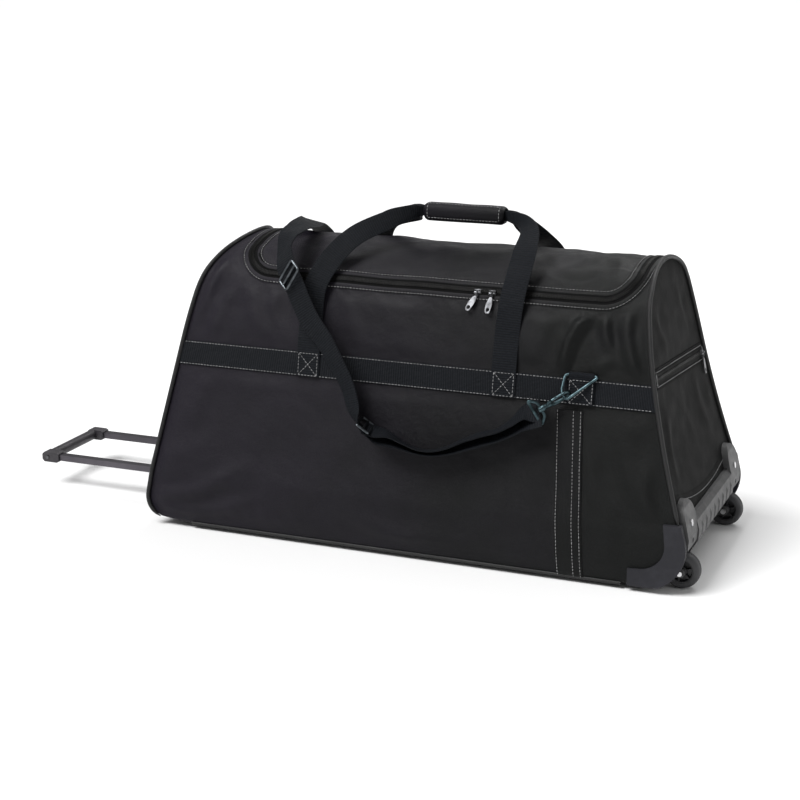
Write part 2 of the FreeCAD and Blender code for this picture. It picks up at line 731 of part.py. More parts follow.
def ear_screw():
    head = Part.makeCylinder(5, 2, screw_seat - screw_axis * 0.6, screw_axis)
    shank = Part.makeCylinder(2.5, 9, screw_seat - screw_axis * 9, screw_axis)
    return head.fuse(shank)


screws = both_sides(ear_screw())
housing = bumper().fuse(both_sides(ear())).cut(body_with_wells).cut(screws).removeSplitter()
node(feature("wheel_housing", housing), "wheel_housing")
screw_pieces = [screw.cut(body_with_wells) for screw in screws]
node(feature("housing_screws", Part.Compound(screw_pieces)), "housing_screws")

guard_outline = Part.Wire(Part.__sortEdges__([
    line((556, -193.5, 107), (563, -193.5, 78)),
    arc((563, -193.5, 78), (555, -193.5, 36), (524, -193.5, 9)),
    line((524, -193.5, 9), (480, -193.5, 8)),
    line((480, -193.5, 8), (480, -193.5, 34)),
    line((480, -193.5, 34), (494, -193.5, 35)),
    arc((494, -193.5, 35), (523, -193.5, 47), (533, -193.5, 76)),
    line((533, -193.5, 76), (530, -193.5, 106)),
    line((530, -193.5, 106), (556, -193.5, 107)),
]))
guard = Part.Face(guard_outline).extrude(Y_AXIS * 10).cut(body_with_wells)
node(feature("front_corner_guard", guard), "front_corner_guard")
node(feature("rear_corner_guard", guard.mirror(Vector(), Y_AXIS)), "rear_corner_guard")

# ---------------------------------------------------------------- base and its frame

foot = padded_plate("front_foot", "XZ_Plane", [("-20", "0.0"), ("20", "0.0"), ("20", "dims.base_height"),
                                               ("-20", "dims.base_height")],
                    "dims.foot_width", at=("dims.foot_x", "-(dims.foot_y - dims.foot_width / 2)", "0"))
pair(foot, "skid_feet")
board_corner = ("dims.board_start_x", "-dims.board_width / 2", "dims.base_height + dims.fabric_thickness")
board = primitive("Part::Box", "base_board", board_corner, Length="dims.board_length",
                  Width="dims.board_width", Height="dims.board_thickness")
node(board, "base_board")


def rectangle_bar(name, start, length, width, height):
    """A bar along X, centred on one of the pull handle's tubes."""
    corner = (start, f"-dims.tube_y - ({width}) / 2", f"dims.tube_z - ({height}) / 2")
    return primitive("Part::Box", name, corner, Length=length, Width=width, Height=height)


def rectangle_tube(name, start, length, width, height, wall):
    outside = rectangle_bar(name + "_outside", start, length, width, height)
    inside = rectangle_bar(name + "_inside", start, length, f"{width} - 2 * {wall}", f"{height} - 2 * {wall}")
    return boolean("Part::Cut", name, outside, inside)


sleeve = rectangle_tube("front_sleeve", "dims.sleeve_start_x", "dims.sleeve_length",
                        "dims.sleeve_width", "dims.sleeve_height", "dims.sleeve_wall")
pair(sleeve, "trolley_sleeves")

saddle_top = "dims.tube_z + dims.sleeve_height / 2 + 3"
saddle_low = "dims.base_height + dims.fabric_thickness + dims.board_thickness"
members = []
for label, x in (("handle_cross_member", -110), ("wheel_cross_member", 420)):
    holes = [[(f"{s} * dims.tube_y - dims.sleeve_width / 2", "dims.tube_z - dims.sleeve_height / 2"),
              (f"{s} * dims.tube_y + dims.sleeve_width / 2", "dims.tube_z - dims.sleeve_height / 2"),
              (f"{s} * dims.tube_y + dims.sleeve_width / 2", "dims.tube_z + dims.sleeve_height / 2"),
              (f"{s} * dims.tube_y - dims.sleeve_width / 2", "dims.tube_z + dims.sleeve_height / 2")]
             for s in (-1, 1)]
    outline = [("-95", saddle_low), ("95", saddle_low), ("95", saddle_top), ("-95", saddle_top)]
    members.append(padded_plate(label, "YZ_Plane", outline, "22", holes, at=(str(x), "0", "0")))
doc.recompute()
node(joined("Part::Compound", "cross_members", members), "cross_members")

collar_outside = rectangle_bar("front_collar_outside", "dims.handle_end_x - 5", "20",
                               f"{2 * neck_half_y}", f"{2 * neck_half_z}")
collar_inside = rectangle_bar("front_collar_inside", "dims.handle_end_x - 5", "20",
                              "dims.tube_width + 2 * dims.running_gap",
                              "dims.tube_height + 2 * dims.running_gap")
pair(boolean("Part::Cut", "front_collar", collar_outside, collar_inside), "trolley_collars")

floor_z = 60.5
false_floor = block((LEFT, -HALF, floor_z), (503, HALF, floor_z + 2))
inside = section_tube(-SKIN).common(profile_slab(-SKIN))
node(feature("lining_floor", false_floor.common(inside)), "lining_floor")

# ---------------------------------------------------------------- pull handle

tube = rectangle_tube("front_tube", "dims.tube_start_x", "dims.tube_length",
                      "dims.tube_width", "dims.tube_height", "dims.tube_wall")
pair(tube, "trolley_tubes")

PLUG_X = "dims.tube_start_x + dims.tube_length"
plug_block = rectangle_bar("front_plug_block", PLUG_X, "16", "dims.sleeve_width - 2 * dims.sleeve_wall - 0.4",
                           "dims.sleeve_height - 2 * dims.sleeve_wall - 0.4")
spring_foot = (f"{PLUG_X} + 8", "-dims.tube_y", "dims.tube_z - 4")
plug_bore = primitive("Part::Cylinder", "front_plug_bore", spring_foot, Radius="2.3", Height="20")
pair(boolean("Part::Cut", "front_plug", plug_block, plug_bore), "tube_end_plugs")
ball = primitive("Part::Sphere", "front_detent_ball",
                 (f"{PLUG_X} + 8", "-dims.tube_y", "dims.tube_z + 3.2"), Radius="2")
pair(ball, "detent_balls")
spring_out = primitive("Part::Cylinder", "front_spring_outside", spring_foot, Radius="1.8", Height="5.1")
spring_in = primitive("Part::Cylinder", "front_spring_inside", spring_foot, Radius="1.2", Height="5.1")
pair(boolean("Part::Cut", "front_spring", spring_out, spring_in), "detent_springs")

core_start = ("dims.grip_x", "-dims.grip_half_length - 8", "dims.tube_z")
core = primitive("Part::Cylinder", "grip_core", core_start, Rotation(X_AXIS, -90),
                 Radius="dims.grip_core_radius", Height="2 * dims.grip_half_length + 16")
node(core, "grip_core")
for label, turn in (("grip_upper_shell", Rotation(X_AXIS, -90).multiply(Rotation(Z_AXIS, 180))),
                    ("grip_lower_shell", Rotation(X_AXIS, -90))):
    at = ("dims.grip_x", "-dims.grip_half_length", "dims.tube_z")
    half = primitive("Part::Cylinder", label + "_solid", at, turn, Radius="dims.grip_radius",
                     Height="2 * dims.grip_half_length")
    half.Angle = 180
    hollow = primitive("Part::Cylinder", label + "_bore", at, Rotation(X_AXIS, -90),
                       Radius="dims.grip_core_radius", Height="2 * dims.grip_half_length")
    node(boolean("Part::Cut", label, half, hollow), label)

cap_outline = [("0", "-8.5 + 4"), ("4", "-8.5"), ("28", "-8.5"), ("32", "-6.5"), ("32", "6.5"),
               ("28", "8.5"), ("4", "8.5"), ("0", "4.5")]
cap_block = padded_plate("front_cap_block", "XZ_Plane", cap_outline, "dims.cap_width",
                         at=("dims.grip_x - 10", "-dims.grip_half_length", "dims.tube_z"))
tube_socket = rectangle_bar("front_cap_socket", "dims.tube_start_x", "60", "dims.tube_width",
                            "dims.tube_height")
screw_head = primitive("Part::Cylinder", "front_cap_screw_head",
                       ("dims.grip_x", "-dims.grip_half_length - dims.cap_width", "dims.tube_z"),
                       Rotation(X_AXIS, 90), Radius="3.2", Height="1.4")
screw_shank = primitive("Part::Cylinder", "front_cap_screw_shank",
                        ("dims.grip_x", "-dims.grip_half_length - dims.cap_width + 8", "dims.tube_z"),
                        Rotation(X_AXIS, 90), Radius="1.5", Height="8")
cap_bore = primitive("Part::Cylinder", "front_cap_bore", core_start, Rotation(X_AXIS, -90),
                     Radius="dims.grip_core_radius", Height="8")
cap_cuts = joined("Part::MultiFuse", "front_cap_cuts", [tube_socket, screw_shank, cap_bore])
pair(boolean("Part::Cut", "front_cap", cap_block, cap_cuts), "trolley_end_caps")
pair(joined("Part::MultiFuse", "front_cap_screw", [screw_head, screw_shank]), "cap_screws")

# ---------------------------------------------------------------- write the sub-parts

doc.recompute()
failed = [item.Name for item in doc.Objects if {"Invalid", "Error"} & set(item.State)]
if failed:
    raise RuntimeError("objects that did not compute: " + ", ".join(failed))
for item in nodes:
    if item.Shape.isNull() or not item.Shape.isValid():
        raise RuntimeError("not a valid shape: " + item.Label)
os.makedirs("parts", exist_ok=True)
for item in nodes:
    item.Shape.exportStep(f"parts/{item.Label}.step")
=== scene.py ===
import itertools
import math

import bmesh
import bpy
import numpy as np
from mathutils import Matrix, Vector


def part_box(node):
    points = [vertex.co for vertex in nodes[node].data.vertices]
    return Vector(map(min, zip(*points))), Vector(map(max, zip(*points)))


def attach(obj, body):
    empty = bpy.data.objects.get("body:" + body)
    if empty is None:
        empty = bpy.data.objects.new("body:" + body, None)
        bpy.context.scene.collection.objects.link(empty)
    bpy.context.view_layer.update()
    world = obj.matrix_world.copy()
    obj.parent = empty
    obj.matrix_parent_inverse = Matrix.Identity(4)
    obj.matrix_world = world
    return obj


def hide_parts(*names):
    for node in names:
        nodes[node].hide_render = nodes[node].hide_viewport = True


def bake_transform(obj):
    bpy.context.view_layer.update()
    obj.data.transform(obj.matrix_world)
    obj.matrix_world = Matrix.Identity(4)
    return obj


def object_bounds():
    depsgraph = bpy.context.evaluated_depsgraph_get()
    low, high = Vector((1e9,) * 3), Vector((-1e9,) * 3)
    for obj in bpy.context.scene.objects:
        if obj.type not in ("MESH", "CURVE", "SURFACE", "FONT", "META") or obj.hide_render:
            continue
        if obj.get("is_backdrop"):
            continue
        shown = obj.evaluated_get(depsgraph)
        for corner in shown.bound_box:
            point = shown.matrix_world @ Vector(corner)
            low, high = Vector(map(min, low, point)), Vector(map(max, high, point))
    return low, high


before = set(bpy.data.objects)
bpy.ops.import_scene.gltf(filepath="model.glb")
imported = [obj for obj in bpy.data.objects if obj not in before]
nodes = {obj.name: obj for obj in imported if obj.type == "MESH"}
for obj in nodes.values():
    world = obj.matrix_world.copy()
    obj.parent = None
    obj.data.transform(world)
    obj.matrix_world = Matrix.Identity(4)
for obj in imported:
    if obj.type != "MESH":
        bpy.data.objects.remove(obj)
cad_low, cad_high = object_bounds()

# Shapes are worked out in millimetres in the CAD model's frame: +X towards the wheels, -Y the front, +Z up.
MM = 0.001
WEB = 38


def box_mm(node):
    """Lowest and highest corner of a CAD node, in millimetres."""
    low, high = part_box(node)
    return np.array(low) / MM, np.array(high) / MM


# ---------------------------------------------------------------- curves


def unit(v):
    v = np.asarray(v, float)
    return v / np.maximum(np.linalg.norm(v, axis=-1, keepdims=True), 1e-9)


def segment(a, b, count):
    return np.linspace(a, b, count, endpoint=False)


def arc3(a, b, c, count):
    """Points of the circle from a through b towards c, without c itself."""
    (ax, ay), (bx, by), (cx, cy) = a, b, c
    d = 2 * (ax * (by - cy) + bx * (cy - ay) + cx * (ay - by))
    aa, bb, cc = ax * ax + ay * ay, bx * bx + by * by, cx * cx + cy * cy
    ux = (aa * (by - cy) + bb * (cy - ay) + cc * (ay - by)) / d
    uy = (aa * (cx - bx) + bb * (ax - cx) + cc * (bx - ax)) / d
    start, middle, stop = (math.atan2(p[1] - uy, p[0] - ux) for p in (a, b, c))
    turn = (stop - start) % math.tau
    if (middle - start) % math.tau > turn:
        turn -= math.tau
    angle = start + turn * np.linspace(0, 1, count, endpoint=False)
    radius = math.hypot(ax - ux, ay - uy)
    return np.stack([ux + radius * np.cos(angle), uy + radius * np.sin(angle)], 1)


def distances(points):
    steps = np.linalg.norm(np.diff(points, axis=0), axis=1)
    return np.concatenate([[0], np.cumsum(steps)])


def resample(points, step, closed=False):
    """The same line with evenly spaced points."""
    points = np.asarray(points, float)
    if closed:
        points = np.vstack([points, points[:1]])
    along = distances(points)
    count = max(2, int(round(along[-1] / step)) + 1)
    at = np.linspace(0, along[-1], count)
    even = np.stack([np.interp(at, along, points[:, k]) for k in range(points.shape[1])], 1)
    return even[:-1] if closed else even


def spline(values, knots, at):
    """A smooth cubic curve through rows of values at the given knots."""
    values = np.asarray(values, float)
    slopes = np.gradient(values, knots, axis=0)
    i = np.clip(np.searchsorted(knots, at, side="right") - 1, 0, len(knots) - 2)
    h = (knots[i + 1] - knots[i])[:, None]
    t = (at[:, None] - knots[i][:, None]) / h
    return ((2 * t**3 - 3 * t**2 + 1) * values[i] + (t**3 - 2 * t**2 + t) * h * slopes[i]
            + (3 * t**2 - 2 * t**3) * values[i + 1] + (t**3 - t**2) * h * slopes[i + 1])


def smoothstep(x):
    x = np.clip(x, 0, 1)
    return x * x * (3 - 2 * x)


# ---------------------------------------------------------------- the bag's outline

BASE = box_mm("bottom_panel")[0][2]
HALF = -box_mm("front_panel")[0][1]
CREST = box_mm("top_flap")[1][2]
LEFT = box_mm("handle_end_panel")[0][0]
RIGHT = box_mm("wheel_end_panel")[1][0]
SHOULDER = (151, 300)
EAVE = (118, 400)
SIDE_FOOT = 88


def half_section():
    """Half of the bag's cross-section, from its crest down to the middle of its base."""
    return np.vstack([
        arc3((0, CREST), (35, CREST - 3), (68, CREST - 12), 14),
        arc3((68, CREST - 12), (97, 423), EAVE, 12),
        arc3(EAVE, (137, 354), SHOULDER, 16),
        segment(SHOULDER, (HALF, SIDE_FOOT), 30),
        segment((HALF, SIDE_FOOT), (HALF, BASE + 8), 12),
        arc3((HALF, BASE + 8), (HALF - 2, BASE + 2), (HALF - 8, BASE), 8),
        segment((HALF - 8, BASE), (0, BASE), 24),
        [(0, BASE)],
    ])


def softened(values, odd, reach=9):
    """A running mean that keeps both ends on the middle plane."""
    sign = -1 if odd else 1
    padded = np.concatenate([sign * values[reach:0:-1], values, sign * values[-2:-reach - 2:-1]])
    window = np.hanning(2 * reach + 3)[1:-1]
    return np.convolve(padded, window / window.sum(), "valid")


SECTION = resample(half_section(), 1.0)
SECTION_Y = softened(SECTION[:, 0], True)
SECTION_Z = softened(SECTION[:, 1], False)
SECTION_S = np.arange(len(SECTION)) * distances(SECTION)[-1] / (len(SECTION) - 1)
slope = unit(np.stack([np.gradient(SECTION_Y), np.gradient(SECTION_Z)], 1))
NORMAL_Y, NORMAL_Z = -slope[:, 1], slope[:, 0]
GIRTH = SECTION_S[-1]

left_line = np.vstack([
    [(-160, -10)], arc3((LEFT + 38, 12), (LEFT + 8, 23), (LEFT, 50), 10), [(LEFT, 50)],
    arc3((-240, 372), (-213, 430), (-150, 475), 12), [(-150, 475)],
])
right_line = np.vstack([
    [(490, -10)], arc3((510, BASE), (543, 26), (RIGHT, 66), 10), [(RIGHT, 66)],
    arc3((RIGHT - 5, 100), (505, 265), (477, 410), 16), arc3((477, 410), (470, 446), (455, 475), 8),
    [(455, 475)],
])


FALLING = 560  # points of the section over which its height only falls
WIDENING = 180  # points of the section over which it only widens


def left_x(z):
    """Where the bag's handle end stands at a height."""
    return np.interp(z, left_line[:, 1], left_line[:, 0])


def right_x(z):
    """Where the bag's wheel end stands at a height."""
    return np.interp(z, right_line[:, 1], right_line[:, 0])


def section_y(s):
    """Half the bag's width at a distance down the section from its crest."""
    return np.interp(s, SECTION_S, SECTION_Y)


def section_z(s):
    """Height at a distance down the section from its crest."""
    return np.interp(s, SECTION_S, SECTION_Z)


def s_at_z(z):
    """Distance down the section from the crest to a height on the side."""
    return np.interp(-z, -SECTION_Z[:FALLING], SECTION_S[:FALLING])


def s_at_y(y):
    """Distance down the section from the crest to a place on the top."""
    return np.interp(y, SECTION_Y[:WIDENING], SECTION_S[:WIDENING])


def half_width(z):
    """Half the plain bag's width at a height on the side."""
    return section_y(s_at_z(z))


# ---------------------------------------------------------------- zip path and cloth relief

flap_low, flap_high = box_mm("top_flap")
CHAIN = 3.3
FLAP_LEFT = flap_low[0] - CHAIN
FLAP_RIGHT = flap_high[0] + CHAIN
FLAP_FRONT = flap_low[1] - CHAIN
FLAP_REAR = flap_high[1] + 0.3
CORNER_X = 45
CORNER_LENGTH = 75
Q_FRONT = -s_at_y(-FLAP_FRONT)
Q_CORNER = -s_at_y(-FLAP_FRONT - CORNER_X)
Q_REAR = s_at_y(FLAP_REAR)
SLIDERS_X = (box_mm("left_zip_slider")[0][0] + box_mm("right_zip_slider")[1][0]) / 2
BAND_LOW, BAND_HIGH = (corner[2] for corner in box_mm("front_webbing_band"))
S_BAND = s_at_z((BAND_LOW + BAND_HIGH) / 2)


def zip_path(offset, step=4.0):
    """(x, q) of the zip's U at a sideways offset, from its rear left end round to its rear right end."""
    side_count = max(2, int((Q_REAR - Q_CORNER) / step))
    front_count = int((FLAP_RIGHT - FLAP_LEFT - 2 * CORNER_X) / step)
    side_run = segment(Q_REAR, Q_CORNER, side_count)
    front_run = np.linspace(FLAP_LEFT + CORNER_X, FLAP_RIGHT - CORNER_X, front_count)[1:-1]
    quarter = np.linspace(0, math.pi / 2, max(4, int(CORNER_LENGTH / step)))
    left = np.stack([np.full(side_count, FLAP_LEFT - offset), side_run], 1)
    corner = np.stack([FLAP_LEFT + CORNER_X - (CORNER_X + offset) * np.cos(quarter),
                       Q_CORNER - (Q_CORNER - Q_FRONT + offset) * np.sin(quarter)], 1)
    front = np.stack([front_run, np.full(len(front_run), Q_FRONT - offset)], 1)
    right = [((FLAP_LEFT + FLAP_RIGHT, 0) + line * (-1, 1))[::-1] for line in (corner, left)]
    return np.vstack([left, corner, front, *right])


def zip_distance(x, q):
    """Signed distance from the closed line of the flap, negative on the flap."""
    mid_x, mid_q = (FLAP_LEFT + FLAP_RIGHT) / 2, (Q_FRONT + Q_REAR) / 2
    radius = np.where(q < Q_CORNER + 20, CORNER_X, 4.0)
    dx = np.abs(x - mid_x) - (FLAP_RIGHT - FLAP_LEFT) / 2 + radius
    dq = np.abs(q - mid_q) - (Q_REAR - Q_FRONT) / 2 + radius
    return np.hypot(np.maximum(dx, 0), np.maximum(dq, 0)) + np.minimum(np.maximum(dx, dq), 0) - radius


def ripple(u, v, scale, seed):
    """Smooth, seeded, non-repeating relief between about -1 and 1."""
    draw = np.random.default_rng(seed)
    total = np.zeros(np.broadcast(u, v).shape)
    for _ in range(7):
        turn, phase, stretch = draw.uniform(0, math.tau), draw.uniform(0, math.tau), draw.uniform(0.6, 1.7)
        across = (u * math.cos(turn) + v * math.sin(turn)) / scale * stretch
        along = (v * math.cos(turn) - u * math.sin(turn)) / scale
        total += np.sin(across * 2.2 + phase + 1.3 * np.sin(along * 0.9 + 2 * phase))
    return total / 4.2


# Each fold: (x, z) where it starts, (x, z) where it ends, half width, height. All lie on the front face.
FRONT_FOLDS = [
    ((398, 392), (352, 296), 9, 7.4), ((420, 396), (428, 336), 8, 4.8), ((452, 392), (478, 292), 12, 6.6),
    ((474, 384), (500, 290), 7, 4.2), ((338, 380), (318, 316), 13, 2.6), ((296, 384), (312, 312), 13, 2.2),
    ((-176, 380), (-212, 300), 12, 3.6), ((-148, 388), (-112, 304), 13, 3.4),
    ((-190, 424), (-232, 356), 11, 3.8),
    ((-110, 380), (-84, 312), 11, 2.6), ((20, 384), (34, 312), 17, 2.2), ((120, 386), (108, 304), 19, 2.0),
    ((-294, 50), (-130, 104), 12, 5.0), ((-286, 31), (-100, 56), 10, 3.8),
    ((-274, 118), (-180, 156), 15, 2.8),
    ((414, 226), (440, 90), 17, 2.8), ((464, 232), (500, 110), 16, 3.0), ((500, 180), (518, 80), 11, 2.2),
    ((300, 236), (336, 110), 22, 2.6), ((-206, 244), (-240, 140), 18, 2.8), ((40, 64), (210, 26), 15, 2.8),
    ((-228, 356), (-250, 306), 9, 2.8), ((436, 330), (404, 290), 9, 3.4), ((60, 236), (40, 150), 24, 2.2),
]
TOP_FOLDS = [
    ((358, -10), (300, -52), 14, 4.6), ((404, -20), (452, -70), 15, 4.6), ((150, -18), (112, -76), 18, 3.8),
    ((-60, -10), (-30, -86), 17, 3.4), ((-120, 20), (-148, -60), 11, 3.8), ((300, 60), (380, 96), 17, 3.6),
    ((40, 40), (-10, 92), 20, 2.4), ((200, -92), (260, -96), 12, -2.2), ((-60, -96), (60, -98), 10, -2.0),
    ((330, -90), (400, -84), 10, -2.4),
]


def ridge(u, v, start, stop, wide, high):
    """A fold's height: a rounded ridge along a line that fades at both ends."""
    start, stop = np.array(start, float), np.array(stop, float)
    run = stop - start
    length = np.linalg.norm(run)
    run /= length
    along = (u - start[0]) * run[0] + (v - start[1]) * run[1]
    across = (v - start[1]) * run[0] - (u - start[0]) * run[1]
    across = across + 0.06 * length * np.sin(along / length * math.pi * 1.4)
    fade = smoothstep((along + 0.2 * length) / (0.45 * length))
    fade *= smoothstep((1.2 * length - along) / (0.6 * length))
    trough = 0.45 * np.exp(-((across - 1.9 * wide) / (1.2 * wide)) ** 2)
    return high * fade * (np.exp(-(across / wide) ** 2) - trough)


# Each ripple of the cloth: height, size, seed.
RIPPLES = [(1.9, 95, 3), (1.1, 34, 5), (0.3, 13, 7)]
MIRROR_X = 134  # the rear's folds mirror the front's about this place


def relief(x, q):
    """How far the cloth stands off the bag's plain shape, none at its seams, rims and bands."""
    x, q = np.broadcast_arrays(x, q)
    s = np.abs(q)
    z = section_z(s)
    zip_gap = zip_distance(x, q)
    from_zip, from_band = np.abs(zip_gap), np.abs(s - S_BAND)
    rims = smoothstep((x - left_x(z)) / 26) * smoothstep((right_x(z) - x) / 26)
    base = smoothstep((z - BASE - 4) / 30)
    guard = 1 - smoothstep((x - 440) / 40) * smoothstep((130 - z) / 30)
    soft = rims * smoothstep((from_band - 19) / 26) * smoothstep((from_zip - 15) / 24) * base * guard
    height = np.where(s > S_BAND, 3.0, np.where(zip_gap > 0, 1.8, 1.0))
    for high, size, seed in RIPPLES:
        height = height + high * ripple(x, q, size, seed)
    folds = np.zeros_like(height)
    for start, stop, wide, high in FRONT_FOLDS:
        folds += np.where(-q > s_at_y(100), ridge(x, z, start, stop, wide, high), 0)
        folds += np.where(q > s_at_y(100), ridge(2 * MIRROR_X - x, z, start, stop, wide, 0.8 * high), 0)
    for start, stop, wide, high in TOP_FOLDS:
        folds += np.where(s < s_at_y(116), ridge(x, q, start, stop, wide, high), 0)
    pucker = 0.7 * np.exp(-((from_zip - 19) / 8) ** 2) * ripple(x, q, 9, 11)
    pucker += 0.5 * np.exp(-((from_band - 24) / 7) ** 2) * ripple(x, q, 10, 13)
    pucker = pucker * smoothstep((from_zip - 13) / 5)
    held = np.exp(-((x - SLIDERS_X) / 60) ** 2)
    sway = 1.9 * ripple(x, q, 62, 17) * (1 - held) * np.exp(-(zip_gap / 45) ** 2)
    sway = np.where(-q > s_at_y(60), sway, 0)
    return soft * (height + folds) + rims * base * guard * (pucker + sway)


def on_tube(x, q, lift=0.0):
    """A point of the long skin at x and at a distance q round from the crest, negative at the front."""
    x, q = np.broadcast_arrays(x, q)
    s = np.abs(q)
    side = np.where(q < 0, -1.0, 1.0)
    ny, nz = side * np.interp(s, SECTION_S, NORMAL_Y), np.interp(s, SECTION_S, NORMAL_Z)
    normal = unit(np.stack([np.zeros_like(ny), ny, nz], -1))
    return np.stack([x, side * section_y(s), section_z(s)], -1) + normal * (lift + relief(x, q))[..., None]


END_FOLDS = [
    ((-90, 380), (-60, 326), 12, 2.6), ((40, 400), (70, 330), 14, 2.4), ((-120, 240), (-140, 150), 13, 3.0),
    ((60, 250), (96, 160), 16, 2.8), ((-20, 240), (10, 150), 18, 1.8),
]
POCKET_Z = 292


def on_end(side):
    """The surface of one end panel, as a function of y, z and lift."""
    edge = right_x if side > 0 else left_x
    foot, foot_reach = (112, 40) if side > 0 else (30, 50)

    def surface(y, z, lift=0.0):
        y, z = np.broadcast_arrays(y, z)
        inset = smoothstep((half_width(z) - np.abs(y)) / 40) * smoothstep((CREST - z) / 60)
        inset = inset * smoothstep((z - foot) / foot_reach)
        pocket = 1 - np.exp(-((z - POCKET_Z) / 26) ** 2) if side > 0 else 1.0
        bulge = 1.4 + 1.6 * ripple(y, z, 80, 21 + side) + 0.7 * ripple(y, z, 30, 31 + side)
        bulge = inset * pocket * bulge
        for start, stop, wide, high in END_FOLDS:
            bulge = bulge + inset * pocket * ridge(y, z, start, stop, wide, high)
        return np.stack([edge(z) + side * (lift + bulge), y, z], -1)

    return surface


on_wheel_end = on_end(1)
on_handle_end = on_end(-1)

# ---------------------------------------------------------------- meshes


class Shape:
    """Points in millimetres, faces and flat cloth coordinates, gathered into one mesh."""

    def __init__(self):
        self.points, self.faces, self.flat, self.count = [], [], [], 0

    def add(self, points, faces, flat=None):
        points = np.asarray(points, float).reshape(-1, 3)
        if flat is None:
            flat = points[:, :2] + points[:, 2:] * 0.37
        self.points.append(points)
        self.flat.append(np.asarray(flat, float).reshape(-1, 2))
        self.faces += [tuple(i + self.count for i in face) for face in faces]
        self.count += len(points)
        return self


def grid_faces(rows, columns, close_rows=False, close_columns=False):
    """Quads between neighbours of a rows x columns lattice."""
    faces = []
    for i in range(rows if close_rows else rows - 1):
        for j in range(columns if close_columns else columns - 1):
            a, b = i * columns + j, i * columns + (j + 1) % columns
            c, d = ((i + 1) % rows) * columns + (j + 1) % columns, ((i + 1) % rows) * columns + j
            faces.append((a, b, c, d))
    return faces


def grid(shape, points, flat=None, **closing):
    """Skins a lattice of points."""
    rows, columns = points.shape[:2]
    return shape.add(points, grid_faces(rows, columns, **closing), flat)


def lattice(a, b):
    """Pairs of values from two arrays that are spread over each other."""
    return np.stack(np.broadcast_arrays(a, b), -1)


def face_outwards(mesh, inside):
    """Turns an open skin's faces away from a point inside it, and a closed solid's faces outwards."""
    if inside is None:
        work = bmesh.new()
        work.from_mesh(mesh)
        bmesh.ops.recalc_face_normals(work, faces=work.faces)
        work.to_mesh(mesh)
        work.free()
    else:
        centre = Vector(inside) * MM
        if sum((face.center - centre).dot(face.normal) for face in mesh.polygons) < 0:
            mesh.flip_normals()


def piece(name, shape, material, body=None, replaces=(), sharp=35, inside=None):
    """One finished mesh object, in its place, riding on its body and filling its finish's slot."""
    mesh = bpy.data.meshes.new(name)
    points = np.vstack(shape.points) * MM
    mesh.from_pydata(points.tolist(), [], shape.faces)
    layer = mesh.uv_layers.new(name="flat")
    corner = np.empty(len(mesh.loops), np.int32)
    mesh.loops.foreach_get("vertex_index", corner)
    layer.data.foreach_set("uv", (np.vstack(shape.flat)[corner] * MM).astype(np.float32).ravel())
    face_outwards(mesh, inside)
    mesh.polygons.foreach_set("use_smooth", np.ones(len(mesh.polygons), bool))
    if sharp:
        mesh.set_sharp_from_angle(angle=math.radians(sharp))
    mesh.materials.append(material)
    mesh.update()
    obj = bpy.data.objects.new(name, mesh)
    bpy.context.scene.collection.objects.link(obj)
    if body:
        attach(obj, body)
    if replaces:
        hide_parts(*replaces)
    return obj


def tube(shape, points, along, profile, closed=False, order=1):
    """Skins rings of points that follow a profile, with a cap at each open end."""
    count, sides = points.shape[:2]
    profile = np.asarray(profile, float)
    around = distances(np.vstack([profile, profile[:1]]))[:-1]
    faces = [face[::order] for face in grid_faces(count, sides, closed, True)]
    if not closed:
        faces += [tuple(range(sides)), tuple(range(count * sides - 1, (count - 1) * sides - 1, -1))]
    return shape.add(points, faces, lattice(along[:, None], around[None]))


def sweep(shape, path, across, up, profile, scale, closed=False):
    """Carries a closed profile of (across, up) points along a path."""
    profile = np.asarray(profile, float)
    points = (path[:, None] + across[:, None] * (profile[None, :, :1] * scale[:, None, :1])
              + up[:, None] * (profile[None, :, 1:] * scale[:, None, 1:]))
    return tube(shape, points, distances(path), profile, closed, -1)


def frames(path, hint, closed=False):
    """Tangent, sideways and upward directions along a path, as near as can be to a hint for up."""
    if closed:
        tangent = unit(np.roll(path, -1, 0) - np.roll(path, 1, 0))
    else:
        tangent = unit(np.gradient(path, axis=0))
    hint = np.broadcast_to(np.asarray(hint, float), path.shape)
    up = unit(hint - tangent * np.sum(hint * tangent, 1, keepdims=True))
    return tangent, np.cross(up, tangent), up


def circle(radius, sides):
    angle = np.arange(sides) * math.tau / sides
    return np.stack([radius * np.cos(angle), radius * np.sin(angle)], 1)


def wire(shape, path, radius, hint=(0.3, 0.2, 1.0), closed=False, sides=10, scale=None):
    """Round wire along a path."""
    path = np.asarray(path, float)
    _, across, up = frames(path, hint, closed)
    scale = np.ones(len(path)) if scale is None else scale
    return sweep(shape, path, across, up, circle(radius, sides), np.stack([scale, scale], 1), closed)


def rounded_path(corners, radius, closed=True, steps=5):
    """A line through corners, each rounded off by a curve that starts a radius away."""
    corners = [np.asarray(c, float) for c in corners]
    count, out = len(corners), []
    for i, corner in enumerate(corners):
        if not closed and i in (0, count - 1):
            out.append(corner)
            continue
        before = unit(corners[i - 1] - corner) * radius
        after = unit(corners[(i + 1) % count] - corner) * radius
        for t in np.linspace(0, 1, steps):
            out.append(corner + before * (1 - t) ** 2 + after * t**2)
    return np.array(out)


def web_profile(width, thick):
    """A webbing's section: flat, with rounded selvedges."""
    w, t = width / 2, thick / 2
    top = [(-w, 0), (-w + 0.5, t * 0.8), (-w + 1.6, t), (-w / 3, t)]
    top += [(-a, b) for a, b in top[:0:-1]]
    return top + [(-a, -b) for a, b in top]


def both_halves(half):
    """A profile that is the same on both sides of its middle."""
    return half + [(-a, b) for a, b in half[::-1]]


